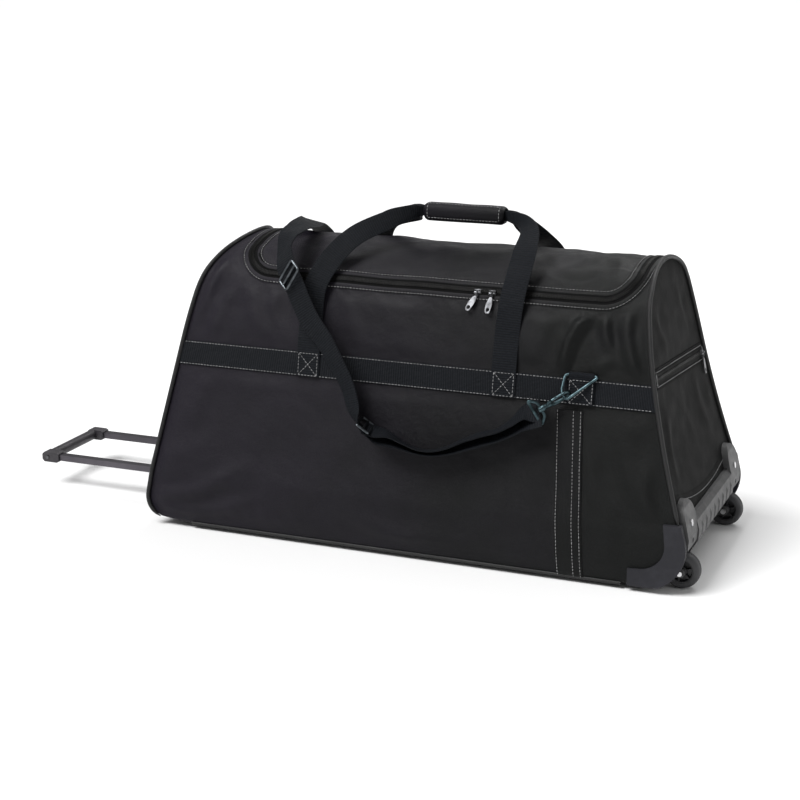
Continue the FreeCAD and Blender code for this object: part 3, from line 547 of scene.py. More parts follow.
def turned(centre, axis, profile, segments=48, shape=None, closed=False):
    """A solid turned about an axis, from (distance along, radius) points; a closed profile makes a ring."""
    axis = unit(axis)
    side = unit(np.cross(axis, (0.31, 0.2, 0.9)))
    angle = np.arange(segments) * math.tau / segments
    ring = np.cos(angle)[:, None] * side + np.sin(angle)[:, None] * np.cross(axis, side)
    profile = np.asarray(profile, float)
    points = np.asarray(centre, float) + axis * profile[:, None, :1] + ring[None] * profile[:, None, 1:]
    count = len(profile)
    faces = grid_faces(count, segments, closed, True)
    if not closed:
        faces += [tuple(range(segments - 1, -1, -1)), tuple(range((count - 1) * segments, count * segments))]
    flat = lattice((angle * profile[:, 1].max())[None], distances(profile)[:, None])
    return (shape or Shape()).add(points, faces, flat)


def slab(shape, low, high, turn=np.eye(3), centre=(0, 0, 0), soft=1.0):
    """A box with softened edges, given by its corners in its own frame."""
    low, high = np.asarray(low, float), np.asarray(high, float)
    middle, reach = (low + high) / 2, (high - low) / 2
    soft = min(soft, reach.min() * 0.9)
    levels = [np.array([-r, -r + soft * 0.3, -r + soft, r - soft, r - soft * 0.3, r]) for r in reach]
    points, index, faces = [], {}, []

    def corner(key):
        if key not in index:
            place = np.array([level[i] for level, i in zip(levels, key)])
            inner = np.clip(place, -(reach - soft), reach - soft)
            away = place - inner
            length = np.linalg.norm(away)
            if length > soft:
                place = inner + away * soft / length
            index[key] = len(points)
            points.append(place + middle)
        return index[key]

    for a, b, end in itertools.product(range(5), range(5), (0, 5)):
        for loop in (
            [(end, a, b), (end, a + 1, b), (end, a + 1, b + 1), (end, a, b + 1)],
            [(a, end, b), (a, end, b + 1), (a + 1, end, b + 1), (a + 1, end, b)],
            [(a, b, end), (a + 1, b, end), (a + 1, b + 1, end), (a, b + 1, end)],
        ):
            face = tuple(corner(key) for key in loop)
            faces.append(face if end else face[::-1])
    return shape.add(np.array(points) @ np.asarray(turn, float).T + np.asarray(centre, float), faces)


def strip(shape, surface, line, profile):
    """Carries a closed profile of (sideways offset, lift) along a line on a surface."""
    points = np.stack([surface(*line(offset).T, lift) for offset, lift in profile], 1)
    return tube(shape, points, distances(points[:, 0]), profile)


def spokes(side, up, sides):
    """Directions evenly round each place, from a sideways and an upward direction there."""
    angle = np.arange(sides) * math.tau / sides
    return side[:, None] * np.cos(angle)[None, :, None] + up[:, None] * np.sin(angle)[None, :, None]


def rods(shape, rings):
    """Many short capped rods alike, from the rings of points that each of them has."""
    points = np.stack(rings, 1)
    count, rows, sides = points.shape[:3]
    one = grid_faces(rows, sides, False, True)
    one += [tuple(range(sides - 1, -1, -1)), tuple(range((rows - 1) * sides, rows * sides))]
    faces = [tuple(i + rows * sides * k for i in face) for k in range(count) for face in one]
    return shape.add(points, faces)


def seam(shape, surface, line, lift=0.0, pitch=5.2, length=3.6, radius=0.46):
    """A row of thread stitches along a line on a surface, each sunk into it at both ends."""
    line = np.asarray(line, float)
    low, high = surface(*line.T, lift), surface(*line.T, lift + 1)
    along = distances(low)
    starts = np.arange(0.6, along[-1] - length * 0.9, pitch)

    def at(values, where):
        return np.stack([np.interp(where, along, values[:, k]) for k in range(3)], -1)

    tangent = unit(at(low, starts + length) - at(low, starts))
    normal = unit(at(high, starts + length / 2) - at(low, starts + length / 2))
    out = spokes(np.cross(normal, tangent), normal, 5)
    rings = []
    for share, rise, thick in ((0, -0.35, 0.6), (0.16, 0.3, 1), (0.84, 0.3, 1), (1, -0.35, 0.6)):
        centre = at(low, starts + share * length) + normal * rise
        rings.append(centre[:, None] + out * radius * thick)
    return rods(shape, rings)


def straight(a, b, step=4.0):
    """Evenly spaced points of a straight line between two places on a surface."""
    a, b = np.asarray(a, float), np.asarray(b, float)
    return np.linspace(a, b, max(2, int(np.linalg.norm(b - a) / step) + 1))


def ribbon(shape, stations, step=4.0):
    """Webbing through stations of (centre, width direction, width, thickness); the size may be left out."""
    stations = [(*station, WEB, 2)[:4] for station in stations]
    centre = np.array([s[0] for s in stations], float)
    knots = distances(centre)
    at = np.linspace(0, knots[-1], max(3, int(knots[-1] / step)))
    path = spline(centre, knots, at)
    across = spline([s[1] for s in stations], knots, at)
    sizes = np.stack([np.interp(at, knots, [s[k] for s in stations]) for k in (2, 3)], 1)
    tangent = unit(np.gradient(path, axis=0))
    across = unit(across - tangent * np.sum(across * tangent, 1, keepdims=True))
    return sweep(shape, path, across, np.cross(tangent, across), web_profile(WEB, 2), sizes / (WEB, 2))


def turned_frame(along, up):
    """Columns that lay local X along one direction and local Z near another."""
    x = unit(along)
    z = unit(np.asarray(up, float) - x * np.dot(x, up))
    return np.stack([x, np.cross(z, x), z], 1)


# ---------------------------------------------------------------- finishes


WAVE_PERIOD = 0.314  # of a wave texture whose scale is 1, in metres


class Finish:
    """One procedural material: its shader and the nodes that feed it."""

    def __init__(self, name, rough, metal=0.0, specular=0.5):
        self.material = bpy.data.materials.new(name)
        self.material.use_nodes = True
        self.tree = self.material.node_tree
        self.shader = next(n for n in self.tree.nodes if n.type == "BSDF_PRINCIPLED")
        self.set("Roughness", rough)
        self.set("Metallic", metal)
        self.set("Specular IOR Level", specular)

    def set(self, socket, value):
        self.feed(self.shader.inputs[socket], value)

    def feed(self, socket, value):
        if isinstance(value, bpy.types.NodeSocket):
            self.tree.links.new(value, socket)
        else:
            socket.default_value = value

    def node(self, kind, inputs, output=0, **settings):
        made = self.tree.nodes.new(kind)
        for key, value in settings.items():
            setattr(made, key, value)
        for key, value in inputs.items():
            self.feed(made.inputs[key], value)
        return made.outputs[output]

    def flat(self):
        return self.node("ShaderNodeUVMap", {}, uv_map="flat")

    def place(self):
        return self.node("ShaderNodeTexCoord", {}, "Object")

    def wave(self, vector, direction, period):
        """A soft sine along one direction, once every so many metres."""
        inputs = {"Vector": vector, "Scale": WAVE_PERIOD / period}
        return self.node("ShaderNodeTexWave", inputs, "Fac", bands_direction=direction)

    def noise(self, vector, size, detail=3.0):
        """Soft random values, with blotches of about a size in metres."""
        return self.node("ShaderNodeTexNoise", {"Vector": vector, "Scale": 1 / size, "Detail": detail}, "Fac")

    def maths(self, operation, a, b):
        return self.node("ShaderNodeMath", {0: a, 1: b}, operation=operation)

    def spread(self, value, low, high, to_low=0.0, to_high=1.0):
        return self.node("ShaderNodeMapRange", {0: value, 1: low, 2: high, 3: to_low, 4: to_high})

    def mix(self, share, a, b):
        a, b = [(*c, 1) if isinstance(c, tuple) else c for c in (a, b)]
        return self.node("ShaderNodeMix", {0: share, 6: a, 7: b}, 2, data_type="RGBA")

    def bump(self, height, depth):
        inputs = {"Height": height, "Distance": depth, "Strength": 1.0}
        self.set("Normal", self.node("ShaderNodeBump", inputs))


def shades(colour, low, high):
    """A darker and a lighter shade of a colour."""
    return tuple(c * low for c in colour), tuple(c * high for c in colour)


def woven(name, colour, warp, weft, depth, rough=0.66, specular=0.3, left_painted_light=None, contrast=1.0):
    """Cloth or webbing: crossed yarns of two spacings over slow mottling; given a lighter left colour, also
    painted light: a drift from that colour at the handle end to the plain colour at the wheel end.
    """
    f = Finish(name, rough, specular=specular)
    flat = f.flat()
    yarns = f.maths("MULTIPLY", f.wave(flat, "X", warp), f.wave(flat, "Y", weft))
    crumple = f.maths("MULTIPLY", f.noise(flat, 0.006, 3), 2.2)
    fuzz = f.maths("MULTIPLY", f.noise(flat, 0.0011, 2), 0.5)
    crossing = f.spread(yarns, 0.1, 0.9)
    blotches = f.noise(flat, 0.14, 4)
    dark, light = 1 - 0.38 * contrast, 1 + 0.35 * contrast
    # Painted light: with a left colour, the tone drifts from that lighter, bluer colour at the handle end to
    # the plain colour towards the wheel end, as if lit from the left; otherwise the second tone is random
    # mottling.
    if left_painted_light:
        other = shades(left_painted_light, dark, light)
        along = f.node("ShaderNodeSeparateXYZ", {0: f.place()}, "X")
        share = f.spread(f.maths("ADD", along, f.spread(blotches, 0.3, 0.7, -0.12, 0.12)), -0.25, 0.42)
    else:
        other = shades(colour, 0.55, 1.2)
        share = f.spread(blotches, 0.35, 0.65)
    tones = [f.mix(crossing, *pair) for pair in (other, shades(colour, dark, light))]
    f.set("Base Color", f.mix(share, *tones))
    f.set("Roughness", f.spread(f.noise(flat, 0.03, 3), 0.3, 0.7, rough - 0.06, rough + 0.05))
    f.bump(f.maths("ADD", yarns, f.maths("ADD", crumple, fuzz)), depth)
    return f.material


def moulded(name, colour, rough, grain=0.0006, depth=0.00012, specular=0.4):
    """Plastic with a fine moulded grain, slightly paler and smoother where hands and floors rub it."""
    f = Finish(name, rough, specular=specular)
    place = f.place()
    speck = f.noise(place, grain, 2)
    worn = f.spread(f.noise(place, 0.03, 4), 0.45, 0.7)
    f.set("Base Color", f.mix(worn, *shades(colour, 0.82, 1.2)))
    f.set("Roughness", f.spread(f.noise(place, 0.012, 4), 0.3, 0.7, rough - 0.07, rough + 0.07))
    f.bump(speck, depth)
    return f.material


def metal(name, colour, rough, grain, depth=0.00005, stretch=(1, 1, 1), bright=1.25, patches=0.009):
    """Plated or anodised metal with fine scratches and uneven polish."""
    f = Finish(name, rough, metal=1.0)
    place = f.node("ShaderNodeMapping", {"Vector": f.place(), "Scale": stretch})
    scratch = f.noise(place, grain, 4)
    polish = f.spread(f.noise(f.place(), patches, 3), 0.35, 0.65)
    f.set("Base Color", f.mix(polish, *shades(colour, 0.8, bright)))
    f.set("Roughness", f.spread(scratch, 0.3, 0.7, rough - 0.06, rough + 0.1))
    f.bump(scratch, depth)
    return f.material


def thread_finish():
    """Pale sewing thread, duller in places."""
    f = Finish("thread", 0.8, specular=0.2)
    tone = f.noise(f.place(), 0.004, 2)
    f.set("Base Color", f.mix(f.spread(tone, 0.35, 0.65), (0.16, 0.16, 0.16), (0.38, 0.38, 0.385)))
    return f.material


# The bag fabric carries painted light: much lighter and bluer at the handle end than at the wheel end, in
# place of light falling from the left.
FABRIC = woven("bag_fabric", (0.0030, 0.0036, 0.0034), 0.0013, 0.0011, 0.00022, 0.44, 0.17,
               (0.0128, 0.0104, 0.0172))
# Painted shade: a duller copy of the bag fabric, with little reflection and more roughness, so the wheel end
# and the pieces on it read darker than the same cloth elsewhere.
SHADED_END_FABRIC = woven("shaded_end_fabric", (0.0050, 0.0051, 0.0050), 0.0013, 0.0011, 0.00022, 0.7, 0.1)
WEBBING = woven("webbing", (0.0070, 0.0088, 0.0124), 0.0036, 0.0019, 0.0007, 0.6, 0.14, contrast=1.7)
PIPING = woven("piping", (0.010, 0.010, 0.0105), 0.0012, 0.0012, 0.0002, 0.5, 0.4)
TAPE = woven("zip_tape", (0.005, 0.005, 0.0052), 0.0016, 0.0009, 0.0002, 0.8, 0.08)
LINING = woven("lining", (0.03, 0.03, 0.033), 0.0012, 0.0012, 0.00012)
THREAD = thread_finish()
COIL = moulded("zip_coil", (0.006, 0.0058, 0.0054), 0.45, specular=0.12)
HOUSING = moulded("housing_plastic", (0.068, 0.068, 0.069), 0.5, 0.0008, 0.0002)
GUARD = moulded("guard_plastic", (0.021, 0.021, 0.026), 0.6, 0.0007, 0.0002, 0.25)
TYRE = moulded("wheel_tyre", (0.050, 0.050, 0.053), 0.55, 0.0009, 0.0001)
HUB = moulded("wheel_hub", (0.022, 0.022, 0.024), 0.4)
GRIP = moulded("trolley_plastic", (0.036, 0.033, 0.038), 0.42)
SKID = moulded("base_plastic", (0.018, 0.018, 0.019), 0.5)
TUBE = metal("trolley_tube", (0.120, 0.112, 0.126), 0.42, 0.0012, 0.000008, (0.04, 1, 1), 1.05, 0.05)
HARDWARE = metal("hardware_metal", (0.034, 0.052, 0.058), 0.36, 0.002, bright=2.6)
GUNMETAL = metal("zip_metal", (0.075, 0.076, 0.080), 0.3, 0.0015, bright=1.9)
BUCKLE = metal("buckle_metal", (0.065, 0.072, 0.078), 0.34, 0.002, bright=1.8)
STEEL = metal("axle_steel", (0.55, 0.55, 0.56), 0.3, 0.001)

# ---------------------------------------------------------------- fabric skins

MIDDLE = (125, 0, 220)
WELL_TOP = 64
WELL_HALF = 23
WELL_LEFT = 503
WHEEL_Y = 148
UPPER_STEP = 2.7
LOWER_STEP = 3.9


def skin(name, shape, replaces, body="bag", material=FABRIC, inside=MIDDLE):
    """A piece of cloth, as thick as it is."""
    obj = piece(name, shape, material, body, replaces, None, inside)
    cloth = obj.modifiers.new("cloth thickness", "SOLIDIFY")
    cloth.thickness = 1.6 * MM
    cloth.offset = -1
    return obj


def upper_shell():
    """The fabric between the zip and the bands, as rings from the zip's U out to the bands and rims."""
    inner = zip_path(5.0, UPPER_STEP)
    side = max(2, int((Q_REAR - Q_CORNER) / UPPER_STEP))
    bend = side + max(4, int(CORNER_LENGTH / UPPER_STEP)) // 2
    hinge = np.linspace(inner[-1], inner[0], int((FLAP_RIGHT - FLAP_LEFT) / UPPER_STEP))[1:-1]
    runs = [inner[:bend], inner[bend:len(inner) - bend], inner[len(inner) - bend:], hinge]
    corner = [(0, S_BAND), (0, -S_BAND), (1, -S_BAND), (1, S_BAND), (0, S_BAND)]
    outer = []
    for run, (from_x, from_q), (to_x, to_q) in zip(runs, corner, corner[1:]):
        t = distances(np.vstack([run, run[-1:] + UPPER_STEP]))[:-1]
        t = t / (t[-1] + UPPER_STEP)
        share, q = from_x + (to_x - from_x) * t, from_q + (to_q - from_q) * t
        z = section_z(np.abs(q))
        outer.append(np.stack([left_x(z) + share * (right_x(z) - left_x(z)), q], 1))
    inner, outer = np.vstack(runs), np.vstack(outer)
    flat = inner + (outer - inner) * np.linspace(0, 1, 46)[:, None, None]
    return grid(Shape(), on_tube(flat[..., 0], flat[..., 1]), flat, close_columns=True)


def without_wells(points, flat, left=-math.inf):
    """A lattice of cloth with openings for the wheels, right of a given x."""
    faces = grid_faces(*points.shape[:2])
    x, y, z = points.reshape(-1, 3)[np.array(faces)].mean(1).T
    well = (x > left) & (np.abs(np.abs(y) - WHEEL_Y) < WELL_HALF + 1) & (z < WELL_TOP)
    return Shape().add(points, [face for face, gone in zip(faces, well) if not gone], flat)


def lower_shell():
    """The fabric below the bands and round the base, without the wheel wells."""
    w = np.arange(S_BAND, 2 * GIRTH - S_BAND + 3, LOWER_STEP)
    w = w * (2 * GIRTH - S_BAND) / w[-1]
    w[0] = S_BAND
    q = np.where(w < GIRTH, -w, 2 * GIRTH - w)
    z = section_z(np.abs(q))
    x = left_x(z)[:, None] + np.linspace(0, 1, 212) * (right_x(z) - left_x(z))[:, None]
    return without_wells(on_tube(x, q[:, None]), lattice(x, w[:, None]), WELL_LEFT)


def end_panel(surface):
    """One end of the bag, in rows from its crest to its base."""
    s = np.linspace(2.0, GIRTH - HALF + 6, 132)
    y = section_y(s)[:, None] * np.linspace(-1, 1, 96)
    z = np.broadcast_to(section_z(s)[:, None], y.shape)
    return surface(y, z), np.stack([y, z], -1)


def flap_skin():
    """The lid inside the zip's U, whose front corners are round."""
    q = np.linspace(Q_REAR - 0.5, Q_FRONT + 5.2, 72)
    depth = np.clip((Q_CORNER - q) / (Q_CORNER - Q_FRONT - 5), 0, 1)
    inset = CORNER_X - (CORNER_X - 5) * np.sqrt(1 - depth**2)
    width = FLAP_RIGHT - FLAP_LEFT - 2 * inset
    x = (FLAP_LEFT + inset)[:, None] + np.linspace(0, 1, 190) * width[:, None]
    flat = lattice(x, q[:, None])
    return grid(Shape(), on_tube(x, flat[..., 1]), flat)


def on_flap(obj):
    """Bakes the placement of a piece of the lid into its mesh."""
    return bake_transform(obj)


skin("upper_shell", upper_shell(), ["front_panel", "rear_panel"])
skin("lower_shell", lower_shell(), ["bottom_panel"])
skin("wheel_end_skin", without_wells(*end_panel(on_wheel_end)), ["wheel_end_panel"], material=SHADED_END_FABRIC)
skin("handle_end_skin", grid(Shape(), *end_panel(on_handle_end)), ["handle_end_panel"])
on_flap(skin("lid_skin", flap_skin(), ["top_flap"], None))


def lining_floor():
    """The loose fabric over the base board."""
    low, high = box_mm("lining_floor")
    y, x = np.meshgrid(np.linspace(low[1] + 4, high[1] - 4, 90), np.linspace(low[0] + 4, high[0] - 4, 200),
                       indexing="ij")
    z = high[2] + 1.2 * ripple(x, y, 90, 51) + 0.4 * ripple(x, y, 25, 52)
    return grid(Shape(), np.stack([x, y, z], -1), np.stack([x, y], -1))


skin("lining", lining_floor(), ["lining_floor"], material=LINING, inside=(125, 0, 0))

# ---------------------------------------------------------------- zips, lips and their stitches

TAPE_OUTER = [(1.2, 0.4), (1.2, 1.1), (15, 1.1), (15, 0.4)]
LIP = [(7.4, 0.3), (7.2, 0.9), (8.0, 1.3), (10, 1.3), (13, 1.0), (16, 0.5), (19, -0.5), (19, -1.3),
       (7.4, -0.3)]


TOP_STITCH, POCKET_STITCH = 13.8, 10.5
COIL_PITCH, COIL_LIFT = 2.4, 1.6


def sided(profile, side):
    """A profile of (offset, lift) on one side of a zip, +1 or -1."""
    return [(offset * side, lift) for offset, lift in profile]


def coil(shape, surface, line, side):
    """One half of a zip's coil: short round bars across the gap, the halves half a pitch apart."""
    along = distances(surface(*resample(line(0.0), 1.0).T, 1.4))
    stations = np.arange(2.6 + 0.6 * side, along[-1] - 2, COIL_PITCH)
    ends = []
    for offset in (-0.9 * side, 3.1 * side):
        track = line(offset)
        share = np.linspace(0, along[-1], len(track))
        at = np.stack([np.interp(stations, share, track[:, k]) for k in range(2)], 1)
        ends.append(surface(*at.T, COIL_LIFT))
    run = unit(ends[1] - ends[0])
    up = unit(surface(*at.T, COIL_LIFT + 1) - ends[1])
    out = spokes(np.cross(run, up), up, 6)
    first, last = ends[0][:, None], ends[1][:, None]
    return rods(shape, [first + out * 0.5, first + run[:, None] * 0.6 + out * 0.85, last + out * 0.85])


def zip_side(side, body):
    """Tape, coil, folded lip and stitching of one side of the top zip: +1 outside the U, -1 on the lid."""
    where = "bag" if side > 0 else "lid"
    for name, shape, material in (
        ("tape", strip(Shape(), on_tube, zip_path, sided(TAPE_OUTER, side)), TAPE),
        ("coil", coil(Shape(), on_tube, zip_path, side), COIL),
        ("lip", strip(Shape(), on_tube, zip_path, sided(LIP, side)), FABRIC),
        ("stitches", seam(Shape(), on_tube, zip_path(TOP_STITCH * side), 1.0), THREAD),
    ):
        replaces = ["top_zip_chain"] if (name, where) == ("tape", "bag") else ()
        obj = piece(f"top_zip_{name}_{where}", shape, material, body, replaces)
        if body is None:
            on_flap(obj)


zip_side(1, "bag")
zip_side(-1, None)

POCKET_A, POCKET_B = np.array([-135.0, 302.0]), np.array([140.0, 281.5])
pocket_run = POCKET_B - POCKET_A
pocket_up = np.array([-pocket_run[1], pocket_run[0]]) / np.linalg.norm(pocket_run)


def pocket_line(offset):
    return straight(POCKET_A, POCKET_B, 3.0) + pocket_up * offset


NARROW_LIP = [(offset * 0.62 - 0.6, lift) for offset, lift in LIP]
pocket_tape = Shape()
pocket_lips = Shape()
pocket_coil = Shape()
stitches = Shape()
for side in (1, -1):
    strip(pocket_tape, on_wheel_end, pocket_line, sided(TAPE_OUTER, side))
    strip(pocket_lips, on_wheel_end, pocket_line, sided(NARROW_LIP, side))
    coil(pocket_coil, on_wheel_end, pocket_line, side)
    seam(stitches, on_wheel_end, pocket_line(POCKET_STITCH * side), 1.2)
for end in (POCKET_A, POCKET_B):
    for k in range(4):
        bar = [end + pocket_up * reach + (k * 0.8, 0) for reach in (-9, 9)]
        seam(stitches, on_wheel_end, straight(*bar), 1.6, 1.7, 1.5)
piece("pocket_zip_tape", pocket_tape, TAPE, "bag", ["end_pocket_zip_chain"])
piece("pocket_zip_coil", pocket_coil, COIL, "bag")
piece("pocket_lips", pocket_lips, SHADED_END_FABRIC, "bag")

# ---------------------------------------------------------------- bands, piping and stitching

LEG_X = (-39, 275.5)
RING_X, REAR_RING_X = 402, -128
BAND_PROFILE = both_halves([(-19, -0.6), (-19, 1.2), (-18, 2.0), (-6, 2.1)])
OVERLAY_PROFILE = both_halves([(-20, -0.6), (-20, 1.0), (-19, 1.7), (-8, 1.9)])


def face_q(side, z):
    """Place round the section of a height on the front (side -1) or the rear."""
    return side * s_at_z(z)


def band(side):
    """The webbing sewn along one side from rim to rim."""

    def line(offset):
        s = S_BAND + offset
        z = section_z(s)
        x = np.linspace(left_x(z) + 1, right_x(z) - 1, 190)
        return np.stack([x, np.full(len(x), side * s)], 1)

    return strip(Shape(), on_tube, line, BAND_PROFILE)


def box_stitches(side, x0, x1, lift):
    """A sewn square with its diagonals, as high as the band."""
    z0, z1 = BAND_LOW + 2.5, BAND_HIGH - 2.5
    corners = [(x0, z0), (x1, z0), (x1, z1), (x0, z1)]
    runs = list(zip(corners, corners[1:] + corners[:1])) + [((x0, z0), (x1, z1)), ((x0, z1), (x1, z0))]
    for run in runs:
        seam(stitches, on_tube, straight(*((x, face_q(side, z)) for x, z in run)), lift)


for side, name in ((-1, "front"), (1, "rear")):
    piece(f"{name}_band", band(side), WEBBING, "bag", [f"{name}_webbing_band"])
    for z in (BAND_LOW + 2.2, BAND_HIGH - 2.2):
        q = face_q(side, z)
        seam(stitches, on_tube, straight((left_x(z) + 3, q), (right_x(z) - 3, q)), 2.1)
    for x in LEG_X:
        box_stitches(side, x - 15.5, x + 15.5, 4.3)
box_stitches(-1, RING_X - 25, RING_X + 9, 6.3)
box_stitches(1, REAR_RING_X - 15.5, REAR_RING_X + 15.5, 6.3)

OVERLAY_X = 386
OVERLAY_S = np.arange(s_at_z(252), s_at_z(8), 4.0)


def overlay_line(x, side):
    """A line down the side near the wheel end, leaning out towards its foot."""
    lean = (OVERLAY_S - OVERLAY_S[0]) / np.ptp(OVERLAY_S) * 14.5 - 7
    return np.stack([x + lean, side * OVERLAY_S], 1)


overlays = Shape()
for side in (-1, 1):
    strip(overlays, on_tube, lambda offset: overlay_line(OVERLAY_X + offset, side), OVERLAY_PROFILE)
    for x in (368, 392, 403):
        seam(stitches, on_tube, overlay_line(x, side), 1.9)
piece("side_overlays", overlays, FABRIC, "bag")

lower_seam = np.array([(-150, 136), (-120, 128), (-60, 117), (0, 112.5), (60, 113), (120, 118),
                       (150, 121)], float)
end_yoke = Shape()
yoke_y = np.linspace(-170, 170, 110)
yoke_z = spline(lower_seam[:, 1:], lower_seam[:, 0], np.clip(yoke_y, -150, 150))[:, 0]
strip(end_yoke, on_wheel_end, lambda offset: np.stack([yoke_y, yoke_z + offset], 1),
      [(-5, -0.6), (-5, 0.8), (-4, 1.4), (4, 1.0), (7, -0.6)])
piece("wheel_end_yoke", end_yoke, SHADED_END_FABRIC, "bag")
seam(stitches, on_wheel_end, np.stack([yoke_y[6:-6], yoke_z[6:-6] - 2.5], 1), 1.4)


RIM_LIFT = 1.6
RIM_RADIUS = 3.3


def rim_path(edge, low):
    """The line along one end's rim, up the front, over the crest and down the rear."""
    s = np.linspace(0, s_at_z(low), 150)
    z = section_z(s)
    ny, nz = np.interp(s, SECTION_S, NORMAL_Y), np.interp(s, SECTION_S, NORMAL_Z)
    half = np.stack([edge(z), section_y(s) + RIM_LIFT * ny, z + RIM_LIFT * nz], 1)
    return np.vstack([half[::-1] * (1, -1, 1), half[1:]])


for name, edge, low, push in (("wheel_end", right_x, 104, 1.8), ("handle_end", left_x, 14, -1.8)):
    path = resample(rim_path(edge, low), 4.0) + (push, 0, 0)
    taper = np.interp(np.minimum(np.arange(len(path)), np.arange(len(path))[::-1]), [0, 4], [0.25, 1])
    rim = wire(Shape(), path, RIM_RADIUS, (1, 0, 0.2), sides=14, scale=taper)
    piece(f"{name}_rim", rim, PIPING, "bag", [f"{name}_piping"])
base_rods = Shape()
for side in (-1, 1):
    wire(base_rods, resample([(-232, side * 188, 8.2), (470, side * 188, 8.2)], 6), 2.7, (0, 0, 1), sides=12)
piece("base_rods", base_rods, PIPING, "bag", ["base_piping"])

# ---------------------------------------------------------------- carry handles

GRIP_X, GRIP_Z, GRIP_HALF = 158, 501, 65


def side_point(x, side, z, lift):
    """A point on the bag's side at a height, lifted off it."""
    return tuple(on_tube(x, face_q(side, z), lift))


def foot(x, side, turn):
    """The webbing's sewn end, from low on the band to just above it."""
    heights = ((261, 3.2), (272, 3.2), (284, 3.2), (295, 3.3), (307, 3.6))
    return [(side_point(x, side, z, lift), (turn, 0, 0)) for z, lift in heights]


FRONT_LOOP = [
    ((-39, -144, 347), (1, 0, 0)), ((-36, -131.5, 399), (1, 0, -0.05)),
    ((-21, -111, 434), (0.9, -0.1, -0.35), 37, 2), ((6, -88, 467), (0.65, -0.28, -0.63), 34, 2),
    ((46, -52, 489), (0.35, -0.25, -0.85), 30, 2.4),
    ((76, -22, 500), (0.1, -0.1, -1), 22, 3), ((90, -5, 501), (0, 0, -1), 15, 4),
    ((106, -3.5, 501), (0, 0, -1), 14, 4), ((210, -3.5, 501), (0, 0, -1), 14, 4),
    ((226, -5, 501), (0, 0, -1), 15, 4), ((241, -14, 500), (0.1, -0.1, -1), 19, 3),
    ((262, -34, 498), (-0.3, -0.3, -0.9), 25, 2.4), ((280, -62, 489), (-0.8, -0.3, -0.5), 32, 2),
    ((284, -90, 469), (-0.97, -0.1, -0.2), 37, 2), ((282, -112, 438), (-1, 0, -0.1)),
    ((278, -131.5, 399), (-1, 0, 0)), ((275.5, -144, 347), (-1, 0, 0)),
]
REAR_LOOP = [
    ((-39, 145, 347), (1, 0, 0)), ((-35, 131.7, 399), (1, 0, 0)), ((-27, 109, 434), (0.95, 0.1, -0.3)),
    ((1, 70, 468), (0.7, 0.25, -0.6), 34, 2), ((67, 30, 492), (0.3, 0.2, -0.9), 28, 3),
    ((88, 5, 501), (0, 0, -1), 15, 4), ((106, 3.5, 501), (0, 0, -1), 14, 4),
    ((210, 3.5, 501), (0, 0, -1), 14, 4), ((228, 5, 501), (0, 0, -1), 15, 4),
    ((240, 25, 487), (-0.3, 0.2, -0.9), 26, 3), ((253, 67, 460), (-0.85, 0.1, -0.5)),
    ((265, 108, 434), (-1, 0, -0.1)), ((273, 131.7, 399), (-1, 0, 0)), ((275.5, 145, 347), (-1, 0, 0)),
]
SEWN_ENDS = {"front": ["handle_sewn_ends"], "rear": []}
for side, name, stations in ((-1, "front", FRONT_LOOP), (1, "rear", REAR_LOOP)):
    stations = foot(LEG_X[0], side, 1) + stations + foot(LEG_X[1], side, -1)[::-1]
    loop = piece(f"{name}_handle", ribbon(Shape(), stations, 3.5), WEBBING, None,
                 [f"{name}_handle_webbing"] + SEWN_ENDS[name])
    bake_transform(loop)


def on_wrap(x, angle, lift=0.0):
    """The padded sleeve's surface; the angle runs from its rear over its top to its front."""
    x, angle = np.broadcast_arrays(x, angle)
    edge = np.clip((GRIP_HALF - np.abs(x - GRIP_X)) / 7, 0, 1)
    close = 1 - 0.22 * (1 - edge) ** 2
    power = 2 / 2.6
    cosine, sine = np.cos(angle), np.sin(angle)
    wave = 1 + 0.02 * ripple(x, angle * 14, 26, 61)
    y = (15 * close * wave + lift) * np.sign(cosine) * np.abs(cosine) ** power
    z = (13.5 * close * wave + lift) * np.sign(sine) * np.abs(sine) ** power
    return np.stack([x, y, GRIP_Z + z], -1)


wrap_x = np.concatenate([[GRIP_X - GRIP_HALF], GRIP_X + GRIP_HALF * np.sin(np.linspace(-1.5, 1.5, 60)),
                         [GRIP_X + GRIP_HALF]])
wrap_angle = np.linspace(0, math.tau, 72, endpoint=False)
outside = on_wrap(wrap_x[:, None], wrap_angle[None])
inside_ring = (outside[[-1, 0]] - (0, 0, GRIP_Z)) * (1, 0.72, 0.72) + (0, 0, GRIP_Z)
inside_ring = inside_ring + np.array([-6, 6])[:, None, None] * (1, 0, 0)
wrap = grid(Shape(), np.vstack([outside, inside_ring]),
            lattice(np.append(wrap_x, [GRIP_X, GRIP_X])[:, None], wrap_angle[None] * 14),
            close_rows=True, close_columns=True)
wrap_piece = piece("grip_sleeve", wrap, FABRIC, "front_handle", ["grip_wrap"], None)


def wrap_edge_line(offset):
    return lattice(wrap_x[2:-2], -1.9 + offset)


EDGE_PROFILE = [(-0.28, -0.4), (-0.28, 0.7), (0.0, 1.3), (0.5, 0.9), (0.8, -0.4)]
wrap_edge = strip(Shape(), on_wrap, wrap_edge_line, EDGE_PROFILE)
piece("grip_sleeve_edge", wrap_edge, FABRIC, "front_handle")
wrap_stitches = Shape()
frame_x, frame_a = (GRIP_X - GRIP_HALF + 7, GRIP_X + GRIP_HALF - 7), (math.pi * 0.62, math.pi * 1.18)
for a in frame_a:
    seam(wrap_stitches, on_wrap, straight((frame_x[0], a), (frame_x[1], a)), 0.1)
for x in frame_x:
    seam(wrap_stitches, on_wrap, np.linspace((x, frame_a[0]), (x, frame_a[1]), 12), 0.1)
piece("grip_sleeve_stitches", wrap_stitches, THREAD, "front_handle")

# ---------------------------------------------------------------- shoulder strap

